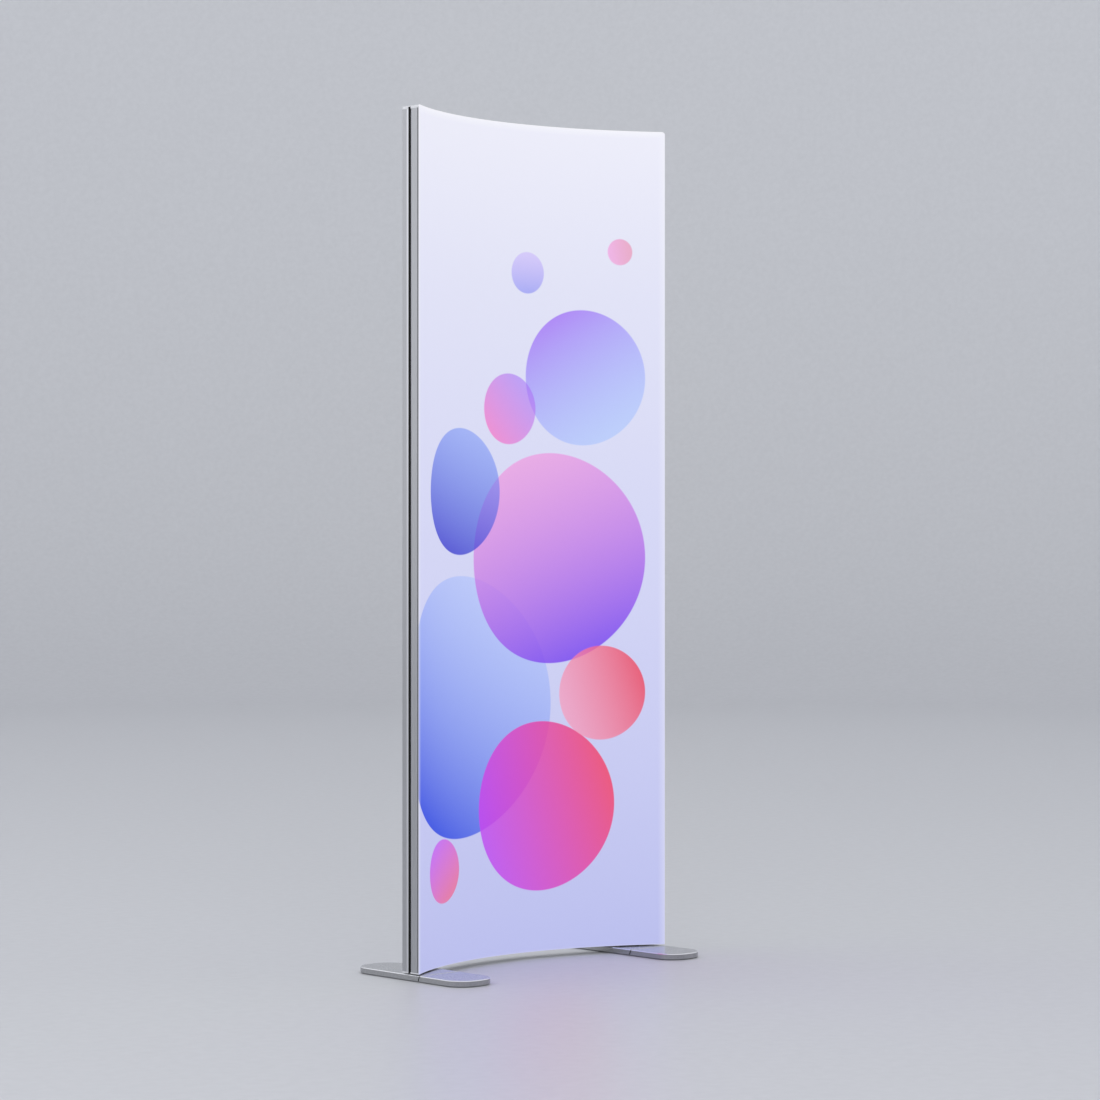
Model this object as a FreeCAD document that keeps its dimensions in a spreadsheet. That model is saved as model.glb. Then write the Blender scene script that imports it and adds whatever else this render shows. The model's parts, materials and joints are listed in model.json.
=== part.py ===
import FreeCAD, Part
import math
import os
import re
import Sketcher

# Fabric light box display: a tall aluminium frame, curved in plan with its hollow side to the front,
# with a stretched print on each face, lit from both rails, on two flat feet that swivel for packing.
# Frame: +X to the right, +Y to the back, +Z up, origin on the floor midway between the feet's ends.

doc = FreeCAD.newDocument("FabricLightBox")
sheet = doc.addObject("Spreadsheet::Sheet", "Sizes")

BOARDS = 4
LENSES = (-1, 0, 1)

driving = {
    # Frame, over its faces
    "frame_height": 2000,
    "frame_width": 802,
    "front_radius": 720,
    "frame_depth": 50,
    "top_corner": 7,
    # Fabrics: the front one wraps over the frame's edge, the rear one ends at a lip
    "fabric_thick": 0.6,
    "wrap_depth": 2.2,
    "edge_lip": 2,
    # Extrusion section, shared by posts and rails
    "post_width": 36,
    "rail_height": 36,
    "wall": 2,
    "bead_slot": 2.4,
    "bead_depth": 9,
    "bead_sink": 1.5,
    "bead_clearance": 0.1,
    "groove_mouth": 9,
    "groove_inside": 16,
    "groove_lip": 2,
    "groove_depth": 7,
    "groove_chamfer": 1.6,
    "groove_bevel": 4,
    "groove_setback": 5,
    "seal_recess": 2.5,
    "seal_clearance": 0.2,
    # Post caps
    "top_cap_thick": 7.5,
    "base_cap_thick": 3,
    "cap_lid": 3,
    "spigot_depth": 12,
    "spigot_wall": 2,
    "spigot_clearance": 0.2,
    # Corner brackets and their screws
    "bracket_leg": 32,
    "bracket_band": 20,
    "bracket_thick": 3,
    "bracket_hole_from_end": 10,
    "screw_diameter": 5,
    "screw_reach": 8,
    "screw_head_diameter": 9,
    "screw_head_height": 3,
    # Cross brace
    "brace_level": 1000,
    "brace_band": 12,
    "brace_thick": 6,
    "shoe_length": 14,
    "shoe_wall": 3,
    "shoe_clearance": 0.1,
    # Light boards
    "board_width": 22,
    "board_thick": 1.6,
    "board_gap": 4,
    "board_end_gap": 40,
    "lens_base": 16,
    "lens_tip": 11,
    "lens_height": 7,
    "terminal_length": 14,
    "terminal_width": 10,
    "terminal_height": 12,
    "terminal_gap": 1.5,
    # Power supply on the right post
    "supply_level": 130,
    "supply_length": 160,
    "supply_width": 30,
    "supply_thick": 22,
    "supply_edge": 2,
    "supply_plate": 3,
    "supply_ear": 15,
    "supply_rear_gap": 3,
    "wire_diameter": 5,
    "wire_bend": 8,
    "mains_wire_bend": 4,
    "wire_hole": 7,
    "wire_edge_gap": 0.6,
    "wire_lead_in": 16,
    # Mains inlet and rocker in the right post
    "inlet_level": 210,
    "inlet_flange_width": 28,
    "inlet_flange_height": 51,
    "inlet_flange_thick": 2,
    "inlet_recess": 2.5,
    "inlet_body_width": 26,
    "inlet_body_height": 47,
    "inlet_body_depth": 19,
    "inlet_clearance": 0.3,
    "socket_width": 24,
    "socket_height": 16,
    "socket_corner": 4,
    "socket_depth": 16,
    "socket_drop": 10.5,
    "pin_width": 2,
    "pin_height": 4,
    "pin_length": 11,
    "pin_spacing": 7,
    "pin_rise": 2,
    "rocker_rise": 12.5,
    "rocker_width": 19.2,
    "rocker_height": 12.6,
    "rocker_crown": 2.6,
    "rocker_dip": 0.7,
    "rocker_skirt": 2,
    "rocker_keel": 4,
    "rocker_keel_width": 8,
    "rocker_tilt": 8,
    "rocker_well_depth": 9,
    "rocker_gap": 0.6,
    "trunnion_diameter": 2.4,
    "trunnion_length": 1.5,
    "trunnion_clearance": 0.05,
    # Feet
    "foot_length": 385,
    "foot_width": 120,
    "foot_thick": 14,
    "foot_corner": 52,
    "foot_edge": 1.5,
    "toe_reach": 143,
    "seam_gap": 3,
    "seam_rake": 5,
    "splice_length": 64,
    "splice_width": 60,
    "splice_thick": 3,
    "splice_clearance": 0.2,
    "splice_hole_spacing": 36,
    "splice_screw_reach": 5,
    "pad_diameter": 24,
    "pad_thick": 2,
    "pad_recess": 1,
    "pad_clearance": 0.1,
    "pad_from_end": 42,
    "pad_spacing": 66,
    # Foot pivots
    "washer_diameter": 50,
    "washer_thick": 3,
    "shoulder_diameter": 12,
    "shoulder_clearance": 0.05,
    "thread_diameter": 8,
    "bolt_head_diameter": 22,
    "bolt_head_height": 4,
    "bolt_head_sink": 1,
    "bolt_head_clearance": 0.1,
    "bolt_head_room": 1,
    "nut_across_flats": 13,
    "nut_height": 5,
}

# Places worked out from the driving dimensions
derived = {
    "half_width": "frame_width / 2",
    "inner_half": "half_width - post_width",
    "rear_radius": "front_radius + frame_depth",
    "face_front": "front_radius + fabric_thick",
    "face_rear": "rear_radius - fabric_thick",
    "wrap_end": "front_radius + wrap_depth",
    "slot_end": "wrap_end + bead_slot",
    "mid_radius": "front_radius + frame_depth / 2",
    "seam_y": "toe_reach - foot_length / 2",
    "arc_centre": "seam_y - sqrt(front_radius ^ 2 - half_width ^ 2)",
    "plate_base": "pad_thick - pad_recess",
    "plate_top": "plate_base + foot_thick",
    "frame_base": "plate_top + washer_thick",
    "frame_top": "frame_base + frame_height",
    "lower_face": "frame_base + rail_height",
    "upper_face": "frame_top - rail_height",
    "post_base": "frame_base + base_cap_thick",
    "post_top": "frame_top - top_cap_thick",
    "post_length": "post_top - post_base",
    "corner_front": "sqrt(face_front ^ 2 - half_width ^ 2)",
    "corner_rear": "sqrt(face_rear ^ 2 - half_width ^ 2)",
    "groove_y": "(corner_front + corner_rear) / 2 + groove_setback",
    "groove_floor": "half_width - groove_lip - groove_depth",
    "chamber_out": "groove_floor - wall",
    "chamber_in": "inner_half + wall",
    "slot_out": "half_width - edge_lip",
    "slot_in": "slot_out - bead_slot",
    "slot_rear": "corner_rear - bead_depth",
    "slot_floor": "half_width - bead_depth",
    "beyond": "rear_radius + frame_depth",
    "bracket_low": "mid_radius - bracket_band / 2",
    "bracket_high": "mid_radius + bracket_band / 2",
    "bracket_y": "arc_centre + sqrt(mid_radius ^ 2 - inner_half ^ 2)",
    "bracket_hole_x": "inner_half - bracket_leg + bracket_hole_from_end",
    "bracket_hole_y": "arc_centre + sqrt(mid_radius ^ 2 - bracket_hole_x ^ 2)",
    "brace_base": "frame_base + brace_level - brace_thick / 2",
    "board_span": "2 * asin((inner_half - bracket_leg - board_end_gap) / mid_radius)",
    "board_room": f"2 * (mid_radius - board_width / 2) * tan(board_span / {2 * BOARDS})",
    "board_length": "board_room - board_gap",
    "lens_spacing": "board_length / 2 - terminal_length - terminal_gap - lens_base / 2",
    "supply_base": "frame_base + supply_level",
    "supply_top": "supply_base + supply_length",
    "supply_out": "inner_half - supply_plate",
    "supply_in": "supply_out - supply_width",
    "supply_back": "arc_centre + sqrt(face_rear ^ 2 - inner_half ^ 2) - supply_rear_gap",
    "supply_front": "supply_back - supply_thick",
    "supply_mid": "supply_back - supply_thick / 2",
    "inlet_z": "frame_base + inlet_level",
    "inlet_y": "arc_centre + groove_y",
    "inlet_seat": "half_width - inlet_recess",
    "inlet_back": "inlet_seat - inlet_body_depth",
    "socket_z": "inlet_z - socket_drop",
    "socket_floor": "inlet_seat + inlet_flange_thick - socket_depth",
    "rocker_z": "inlet_z + rocker_rise",
    "rocker_x": "inlet_seat + inlet_flange_thick - rocker_crown",
    "pivot_x": "half_width - foot_width / 2",
    "pivot_y": "arc_centre + sqrt(mid_radius ^ 2 - pivot_x ^ 2)",
    "head_top": "plate_base + bolt_head_sink + bolt_head_height",
}

aliases = set(driving) | set(derived)


def fill_sheet():
    rows = {name: str(value) for name, value in driving.items()}
    rows.update({name: "=" + formula for name, formula in derived.items()})
    for row, (name, text) in enumerate(rows.items(), start=1):
        sheet.set(f"A{row}", name)
        sheet.set(f"B{row}", text)
        sheet.setAlias(f"B{row}", name)
    doc.recompute()


def in_sheet(formula):
    """Write a formula of size names as one that reads the sheet's cells."""
    def cell(word):
        return "Sizes." + word.group() if word.group() in aliases else word.group()

    return re.sub(r"[a-z_]+", cell, str(formula))


def bind(thing, prop, formula):
    thing.setExpression(prop, in_sheet(formula))


def size(name):
    return float(sheet.get(name))


nodes = []


def node(thing, label):
    """Give a finished piece its own name and put it on the list of pieces."""
    thing.Label = label
    nodes.append(thing)
    return thing


def place(thing, x, y, z):
    bind(thing, "Placement.Base.x", x)
    bind(thing, "Placement.Base.y", y)
    bind(thing, "Placement.Base.z", z)


def box(name, across, along, up):
    """A block between two formulas on each axis."""
    block = doc.addObject("Part::Box", name)
    bind(block, "Length", f"({across[1]}) - ({across[0]})")
    bind(block, "Width", f"({along[1]}) - ({along[0]})")
    bind(block, "Height", f"({up[1]}) - ({up[0]})")
    place(block, across[0], along[0], up[0])
    return block


def rod(name, diameter, length, x, y, z, axis="Z"):
    """A round bar from its base point along +Z, or along +X or -X."""
    bar = doc.addObject("Part::Cylinder", name)
    turn = {"Z": 0, "+X": 90, "-X": -90}[axis]
    bar.Placement = FreeCAD.Placement(FreeCAD.Vector(), FreeCAD.Rotation(FreeCAD.Vector(0, 1, 0), turn))
    bind(bar, "Radius", f"({diameter}) / 2")
    bind(bar, "Height", length)
    place(bar, x, y, z)
    return bar


def joined(name, pieces):
    whole = doc.addObject("Part::MultiFuse", name)
    whole.Shapes = pieces
    return whole


def grouped(name, pieces):
    group = doc.addObject("Part::Compound", name)
    group.Links = pieces
    return group


def cut(name, base, tools):
    rest = doc.addObject("Part::Cut", name)
    rest.Base = base
    rest.Tool = tools[0] if len(tools) == 1 else joined(name + "_tools", tools)
    return rest


def common(name, first, second):
    shared = doc.addObject("Part::Common", name)
    shared.Base = first
    shared.Tool = second
    return shared


def sketch_on(body, role, name):
    sketch = body.newObject("Sketcher::SketchObject", name)
    plane = [feature for feature in body.Origin.OriginFeatures if feature.Role == role][0]
    sketch.AttachmentSupport = (plane, [""])
    sketch.MapMode = "FlatFace"
    return sketch


def outline(sketch, corners):
    """A closed run of straight lines, each corner held at two formulas."""
    first = sketch.GeometryCount
    count = len(corners)
    for number in range(count):
        start = FreeCAD.Vector(number, number * number, 0)
        end = FreeCAD.Vector(number + 1, (number + 1) ** 2, 0)
        sketch.addGeometry(Part.LineSegment(start, end), False)
    for number in range(count):
        after = first + (number + 1) % count
        sketch.addConstraint(Sketcher.Constraint("Coincident", first + number, 2, after, 1))
    for number, (across, up) in enumerate(corners):
        for kind, formula in (("DistanceX", across), ("DistanceY", up)):
            held = sketch.addConstraint(Sketcher.Constraint(kind, first + number, 1, 1.0))
            bind(sketch, f"Constraints[{held}]", formula)


def padded(name, role, outlines, length):
    """A body with one sketch pushed out along its plane's normal."""
    body = doc.addObject("PartDesign::Body", name)
    sketch = sketch_on(body, role, name + "_section")
    for corners in outlines:
        outline(sketch, corners)
    pad = body.newObject("PartDesign::Pad", name + "_pad")
    pad.Profile = sketch
    bind(pad, "Length", length)
    return body


def turned(name, profile, x, y, z):
    """A turned piece: half its profile, as radius and height, spun about the upright axis."""
    body = doc.addObject("PartDesign::Body", name)
    sketch = sketch_on(body, "XZ_Plane", name + "_profile")
    outline(sketch, profile)
    spin = body.newObject("PartDesign::Revolution", name + "_spin")
    spin.Profile = sketch
    spin.ReferenceAxis = (sketch, ["V_Axis"])
    spin.Angle = 360
    place(body, x, y, z)
    return body


def ring(name, low, high, up):
    """A full ring about the frame's centre of curvature."""
    height = f"({up[1]}) - ({up[0]})"
    outer = rod(name + "_outer", f"2 * ({high})", height, "0", "arc_centre", up[0])
    inner = rod(name + "_inner", f"2 * ({low})", height, "0", "arc_centre", up[0])
    return cut(name, outer, [inner])


def bent(name, low, high, up, across):
    """A strip that follows the frame's curve: part of a ring between two x places."""
    window = box(name + "_window", across, ("arc_centre", "arc_centre + beyond"), up)
    return common(name, ring(name + "_ring", low, high, up), window)


def span(side, near, far):
    """The x range from near to far of the middle, on the right (1) or mirrored to the left (-1)."""
    if side > 0:
        return near, far
    return f"-({far})", f"-({near})"


SIDES = {"left": -1, "right": 1}
LEVELS = {"bottom": 1, "top": -1}
TOUCHING = 1e-6


def rail_section(level):
    """Section of a rail as radius and height, measured from its outer face at the frame's top or base."""
    def up(depth):
        return f"{level} * ({depth})"

    groove_low = "mid_radius - groove_mouth / 2"
    groove_high = "mid_radius + groove_mouth / 2"
    inside_low = "mid_radius - groove_inside / 2"
    inside_high = "mid_radius + groove_inside / 2"
    floor = "groove_lip + groove_depth"
    outer = [
        ("face_front", up("fabric_thick")), ("wrap_end", up("fabric_thick")),
        ("wrap_end", up("bead_depth")), ("slot_end", up("bead_depth")), ("slot_end", up("0")),
        (groove_low, up("0")), (groove_low, up("groove_lip")),
        (inside_low, up("groove_lip")), (inside_low, up(floor)), (inside_high, up(floor)),
        (inside_high, up("groove_lip")), (groove_high, up("groove_lip")), (groove_high, up("0")),
        ("face_rear", up("0")), ("face_rear", up("edge_lip")),
        ("face_rear - bead_depth", up("edge_lip")),
        ("face_rear - bead_depth", up("edge_lip + bead_slot")), ("face_rear", up("edge_lip + bead_slot")),
        ("face_rear", up("rail_height")), ("face_front", up("rail_height")),
    ]
    chamber = [
        ("face_front + wall", up(floor + " + wall")), ("face_rear - wall", up(floor + " + wall")),
        ("face_rear - wall", up("rail_height - wall")), ("face_front + wall", up("rail_height - wall")),
    ]
    return outer, chamber


def rail(where):
    """A roll-bent rail: the extrusion's section swept round the curve and cut square to the posts."""
    level = LEVELS[where]
    body = doc.addObject("PartDesign::Body", f"{where}_rail_bar")
    section = sketch_on(body, "YZ_Plane", f"{where}_rail_section")
    for corners in rail_section(level):
        outline(section, corners)
    bend = body.newObject("PartDesign::Revolution", f"{where}_rail_bend")
    bend.Profile = section
    bend.ReferenceAxis = (section, ["V_Axis"])
    bend.Midplane = True
    bind(bend, "Angle", "2 * asin(half_width / front_radius)")
    edge = "frame_base" if level > 0 else "frame_top"
    place(body, "0", "arc_centre", edge)
    ends = box(f"{where}_rail_ends", ("-inner_half", "inner_half"), ("arc_centre", "arc_centre + beyond"),
               ("frame_base", "frame_top"))
    trimmed = common(f"{where}_rail_trimmed", body, ends)
    face = "lower_face - wall" if level > 0 else "upper_face"
    holes = [rod(f"{where}_rail_hole_{name}", "screw_diameter", "wall", f"{side} * bracket_hole_x",
                 "bracket_hole_y", face) for name, side in SIDES.items()]
    return node(cut(f"{where}_rail", trimmed, holes), f"{where}_rail")


def post_section(side):
    """Section of a post in plan: front bead slot and joining groove outside, rear bead slot behind."""
    def x(place_on_right):
        return f"{side} * ({place_on_right})"

    def y(radius, place_on_right):
        return f"sqrt(({radius}) ^ 2 - ({place_on_right}) ^ 2)"

    near = "corner_front - post_width"
    far = y("face_rear", "inner_half") + " + post_width"
    mouth_front = "groove_y - groove_mouth / 2"
    mouth_rear = "groove_y + groove_mouth / 2"
    inside_front = "groove_y - groove_inside / 2"
    inside_rear = "groove_y + groove_inside / 2"
    under_lip = "half_width - groove_lip"
    bevel = "half_width - groove_chamfer"
    rebate = "half_width - fabric_thick"
    outer = [
        (x(rebate), near), (x("inner_half"), near), (x("inner_half"), far), (x("slot_in"), far),
        (x("slot_in"), "slot_rear"), (x("slot_out"), "slot_rear"), (x("slot_out"), far),
        (x("half_width"), far), (x("half_width"), mouth_rear + " + groove_bevel"),
        (x(bevel), mouth_rear), (x(under_lip), mouth_rear), (x(under_lip), inside_rear),
        (x("groove_floor"), inside_rear), (x("groove_floor"), inside_front),
        (x(under_lip), inside_front), (x(under_lip), mouth_front), (x(bevel), mouth_front),
        (x("half_width"), mouth_front + " - groove_bevel"),
        (x("half_width"), y("slot_end", "half_width")), (x("slot_floor"), y("slot_end", "slot_floor")),
        (x("slot_floor"), y("wrap_end", "slot_floor")), (x(rebate), y("wrap_end", rebate)),
    ]
    return outer, chamber_outline(side, "0")


def chamber_outline(side, clearance):
    """The hollow of a post in plan, drawn in by a clearance."""
    out = f"(chamber_out - {clearance})"
    inside = f"(chamber_in + {clearance})"
    front = f"(face_front + wall + {clearance})"
    rear = f"(face_rear - wall - {clearance})"
    return [
        (f"{side} * {out}", f"sqrt({front} ^ 2 - {out} ^ 2)"),
        (f"{side} * {inside}", f"sqrt({front} ^ 2 - {inside} ^ 2)"),
        (f"{side} * {inside}", f"sqrt({rear} ^ 2 - {inside} ^ 2)"),
        (f"{side} * {out}", f"sqrt({rear} ^ 2 - {out} ^ 2)"),
    ]


def post(where):
    """An end post: straight extrusion whose front and rear faces follow the frame's curve."""
    side = SIDES[where]
    bar = padded(f"{where}_post_bar", "XY_Plane", post_section(side), "post_length")
    place(bar, "0", "arc_centre", "post_base")
    faces = ring(f"{where}_post_faces", "face_front", "face_rear", ("post_base", "post_top"))
    shaped = common(f"{where}_post_shaped", bar, faces)
    axis = "+X" if side > 0 else "-X"
    tools = [rod(f"{where}_post_hole_{name}", "screw_diameter", "wall", f"{side} * inner_half", "bracket_y",
                 post_hole_z(level), axis) for name, level in LEVELS.items()]
    if side > 0:
        tools += supply_holes() + inlet_cutouts()
    return node(cut(f"{where}_post", shaped, tools), f"{where}_post")


def post_hole_z(level):
    face = "lower_face" if level > 0 else "upper_face"
    return f"{face} + {level} * (bracket_leg - bracket_hole_from_end)"


def supply_holes():
    """Holes in the right post's inner wall: two screws of the supply's plate and the mains wire."""
    screws = [rod(f"supply_screw_hole_{end}", "screw_diameter", "wall", "inner_half", "supply_mid",
                  supply_screw_z(end), "+X") for end in ("low", "high")]
    passage = rod("wire_hole_post", "wire_hole", "wall", "inner_half", "supply_mid", "inlet_z", "+X")
    return screws + [passage]


def supply_screw_z(end):
    return "supply_base - supply_ear / 2" if end == "low" else "supply_top + supply_ear / 2"


def inlet_cutouts():
    """Recess for the inlet's flange and the opening for its body, in the right post's outer wall."""
    recess = box("inlet_recess_cut", ("inlet_seat", "half_width"),
                 about("inlet_y", "inlet_flange_width", 1), about("inlet_z", "inlet_flange_height", 1))
    opening = box("inlet_opening_cut", ("chamber_out - wall", "half_width"),
                  about("inlet_y", "inlet_body_width", 1), about("inlet_z", "inlet_body_height", 1))
    return [recess, opening]


def about(middle, width, clear=0):
    """A range about a middle, widened on each side by the inlet's clearance if clear is 1."""
    half = f"(({width}) / 2 + {clear} * inlet_clearance)"
    return f"{middle} - {half}", f"{middle} + {half}"


def edges_along(shape, direction):
    """Names of a shape's straight edges that run along a direction."""
    straight = [(f"Edge{number}", edge) for number, edge in enumerate(shape.Edges, start=1)
                if edge.Curve.TypeId == "Part::GeomLine"]
    return [name for name, edge in straight if edge.tangentAt(0).cross(direction).Length < TOUCHING]


def frame_outline(name, inset):
    """The frame's whole front outline as a deep block, drawn in by an inset, with round top corners."""
    left, right = f"-half_width + {inset}", f"half_width - {inset}"
    low, high = f"frame_base + {inset}", f"frame_top - {inset}"
    block = padded(name, "XZ_Plane", [[(left, low), (right, low), (right, high), (left, high)]], "beyond")
    place(block, "0", "arc_centre + beyond", "0")
    doc.recompute()
    pad = block.Tip
    top = max(vertex.Point.z for vertex in pad.Shape.Vertexes)
    rounded = block.newObject("PartDesign::Fillet", name + "_corners")
    rounded.Base = (pad, [edge for edge in edges_along(pad.Shape, FreeCAD.Vector(0, 1, 0))
                          if abs(pad.Shape.getElement(edge).CenterOfMass.z - top) < TOUCHING])
    bind(rounded, "Radius", f"top_corner - {inset}")
    return block


def post_cap(where, level_name):
    """A cap over a post's end: a spigot into the hollow, and a slot for the groove's strip, which runs
    through the bottom cap and stops under a thin lid in the top one."""
    side = SIDES[where]
    level = LEVELS[level_name]
    name = f"{level_name}_{where}_cap"
    levels = ("frame_base", "post_base") if level > 0 else ("post_top", "frame_top")
    slab = bent(name + "_slab", "face_front", "face_rear", levels, span(side, "inner_half", "half_width"))
    shaped = common(name + "_shaped", slab, frame_outline(name + "_outline", "0"))
    rebated = cut(name + "_rebated", shaped, [doc.getObject("front_fabric")])
    slot_top = levels[1] if level > 0 else "frame_top - cap_lid"
    slot = box(name + "_slot", span(side, "groove_floor", "half_width"),
               ("arc_centre + groove_y - groove_mouth / 2", "arc_centre + groove_y + groove_mouth / 2"),
               (levels[0], slot_top))
    slotted = cut(name + "_slotted", rebated, [slot])
    spigot = padded(name + "_spigot", "XY_Plane",
                    [chamber_outline(side, "spigot_clearance"),
                     chamber_outline(side, "(spigot_clearance + spigot_wall)")], "spigot_depth")
    spigot_base = "post_base" if level > 0 else "post_top - spigot_depth"
    place(spigot, "0", "arc_centre", spigot_base)
    return node(joined(name, [slotted, spigot]), name)


def groove_seal(where):
    """The dark strip that closes a post's groove. On the right it is in two lengths, round the inlet."""
    side = SIDES[where]
    name = f"{where}_groove_seal"
    below, above = about("inlet_z", "inlet_flange_height", 1)
    end = "frame_top - cap_lid"
    lengths = [("frame_base", end)] if side < 0 else [("frame_base", below), (above, end)]
    depth = ("arc_centre + groove_y - groove_mouth / 2 + seal_clearance",
             "arc_centre + groove_y + groove_mouth / 2 - seal_clearance")
    strips = [box(f"{name}_{number}", span(side, "groove_floor", "half_width - seal_recess"), depth, up)
              for number, up in enumerate(lengths)]
    return node(grouped(name, strips), name)


def top_seal():
    """The same strip in the top rail's groove, bent to its curve."""
    half = "(groove_mouth / 2 - seal_clearance)"
    strip = bent("top_groove_seal", f"mid_radius - {half}", f"mid_radius + {half}",
                 ("frame_top - groove_lip - groove_depth", "frame_top - seal_recess"),
                 ("-inner_half", "inner_half"))
    return node(strip, "top_groove_seal")


def corner_bracket(where, level_name):
    """An angle in the corner: one leg follows the rail's curve, the other stands on the post."""
    side = SIDES[where]
    level = LEVELS[level_name]
    name = f"{level_name}_{where}_bracket"
    if level > 0:
        rail_leg = ("lower_face", "lower_face + bracket_thick")
        post_leg = ("lower_face", "lower_face + bracket_leg")
    else:
        rail_leg = ("upper_face - bracket_thick", "upper_face")
        post_leg = ("upper_face - bracket_leg", "upper_face")
    flat = bent(name + "_flat", "bracket_low", "bracket_high", rail_leg,
                span(side, "inner_half - bracket_leg", "inner_half"))
    upright = box(name + "_upright", span(side, "inner_half - bracket_thick", "inner_half"),
                  ("arc_centre + sqrt(bracket_low ^ 2 - inner_half ^ 2)",
                   "arc_centre + sqrt(bracket_high ^ 2 - inner_half ^ 2)"), post_leg)
    axis = "-X" if side > 0 else "+X"
    holes = [
        rod(name + "_rail_hole", "screw_diameter", "bracket_thick", f"{side} * bracket_hole_x",
            "bracket_hole_y", rail_leg[0]),
        rod(name + "_post_hole", "screw_diameter", "bracket_thick", f"{side} * inner_half", "bracket_y",
            post_hole_z(level), axis),
    ]
    return node(cut(name, joined(name + "_angle", [flat, upright]), holes), name)


def screw(name, x, y, z, axis):
    """A round-headed screw whose head's underside is at the given point; the shank runs along the axis."""
    sign = 1 if axis[0] == "+" else -1
    if axis[1] == "Z":
        shank_base = z if sign > 0 else f"{z} - screw_reach"
        head_base = f"{z} - screw_head_height" if sign > 0 else z
        shank = rod(name + "_shank", "screw_diameter", "screw_reach", x, y, shank_base)
        head = rod(name + "_head", "screw_head_diameter", "screw_head_height", x, y, head_base)
    else:
        shank = rod(name + "_shank", "screw_diameter", "screw_reach", x, y, z, axis)
        head = rod(name + "_head", "screw_head_diameter", "screw_head_height",
                   f"{x} - {sign} * screw_head_height", y, z, axis)
    return joined(name, [shank, head])


def bracket_screws():
    pieces = []
    for where, side in SIDES.items():
        for level_name, level in LEVELS.items():
            name = f"{level_name}_{where}"
            face = "lower_face + bracket_thick" if level > 0 else "upper_face - bracket_thick"
            pieces.append(screw(name + "_rail_screw", f"{side} * bracket_hole_x", "bracket_hole_y",
                                face, "-Z" if level > 0 else "+Z"))
            pieces.append(screw(name + "_post_screw", f"{side} * (inner_half - bracket_thick)",
                                "bracket_y", post_hole_z(level), "+X" if side > 0 else "-X"))
    return node(grouped("bracket_screws", pieces), "bracket_screws")


def cross_brace():
    """A flat bar on the frame's curve at half height, with a shoe on each post to hold its end."""
    half_band = "brace_band / 2"
    levels = ("brace_base", "brace_base + brace_thick")
    brace = bent("cross_brace", f"mid_radius - {half_band}", f"mid_radius + {half_band}", levels,
                 ("-inner_half", "inner_half"))
    node(brace, "cross_brace")
    for where, side in SIDES.items():
        reach = span(side, "inner_half - shoe_length", "inner_half")
        block = bent(f"{where}_shoe_block", f"mid_radius - {half_band} - shoe_wall",
                     f"mid_radius + {half_band} + shoe_wall",
                     ("brace_base - shoe_wall", "brace_base + brace_thick + shoe_wall"), reach)
        channel = bent(f"{where}_shoe_channel", f"mid_radius - {half_band} - shoe_clearance",
                       f"mid_radius + {half_band} + shoe_clearance",
                       ("brace_base - shoe_clearance", "brace_base + brace_thick + shoe_clearance"), reach)
        node(cut(f"{where}_brace_shoe", block, [channel]), f"{where}_brace_shoe")


def front_fabric():
    """The stretched print: a thin tray that covers the frame's front and wraps over its edges."""
    levels = ("frame_base", "frame_top")
    skin = common("front_fabric_skin", frame_outline("front_fabric_outline", "0"),
                  ring("front_fabric_ring", "front_radius", "wrap_end", levels))
    core = common("front_fabric_core", frame_outline("front_fabric_inside", "fabric_thick"),
                  ring("front_fabric_room", "face_front", "mid_radius", levels))
    return node(cut("front_fabric", skin, [core]), "front_fabric")


def rear_fabric():
    """The plain cloth behind, flat to the frame's rear face and reaching to the edge lips all round."""
    cloth = bent("rear_fabric", "face_rear", "rear_radius",
                 ("frame_base + edge_lip", "frame_top - edge_lip"), ("-slot_out", "slot_out"))
    return node(cloth, "rear_fabric")


def front_bead():
    """Silicone strips on the front print's four edges, pressed into slots in the frame's outer faces."""
    low, high = "wrap_end + bead_clearance", "slot_end - bead_clearance"
    bottom = ("frame_base + bead_sink", "frame_base + bead_depth - bead_clearance")
    top = ("frame_top - bead_depth + bead_clearance", "frame_top - bead_sink")
    strips = [bent(f"front_bead_{name}", low, high, up, ("-inner_half", "inner_half"))
              for name, up in (("bottom", bottom), ("top", top))]
    for where, side in SIDES.items():
        across = span(side, "slot_floor + bead_clearance", "half_width - bead_sink")
        strips.append(bent(f"front_bead_{where}", low, high, ("post_base", "post_top"), across))
    return node(grouped("front_bead", strips), "front_bead")


def rear_bead():
    """Silicone strips on the rear cloth's four edges, pressed into slots in the frame's rear face."""
    low = "face_rear - bead_depth + bead_clearance"
    strips = []
    for level_name, level in LEVELS.items():
        edge = "frame_base" if level > 0 else "frame_top - 2 * edge_lip - bead_slot"
        up = (f"{edge} + edge_lip + bead_clearance", f"{edge} + edge_lip + bead_slot - bead_clearance")
        strips.append(bent(f"rear_bead_{level_name}", low, "face_rear", up, ("-inner_half", "inner_half")))
    depth = ("arc_centre + slot_rear + bead_clearance", "arc_centre + sqrt(face_rear ^ 2 - slot_out ^ 2)")
    for where, side in SIDES.items():
        across = span(side, "slot_in + bead_clearance", "slot_out - bead_clearance")
        strips.append(box(f"rear_bead_{where}", across, depth, ("post_base", "post_top")))
    return node(grouped("rear_bead", strips), "rear_bead")


def board_turn(number):
    """The angle of a board from the middle of its rail, towards +X."""
    return f"({number - (BOARDS + 1) / 2} * board_span / {BOARDS})"


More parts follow.
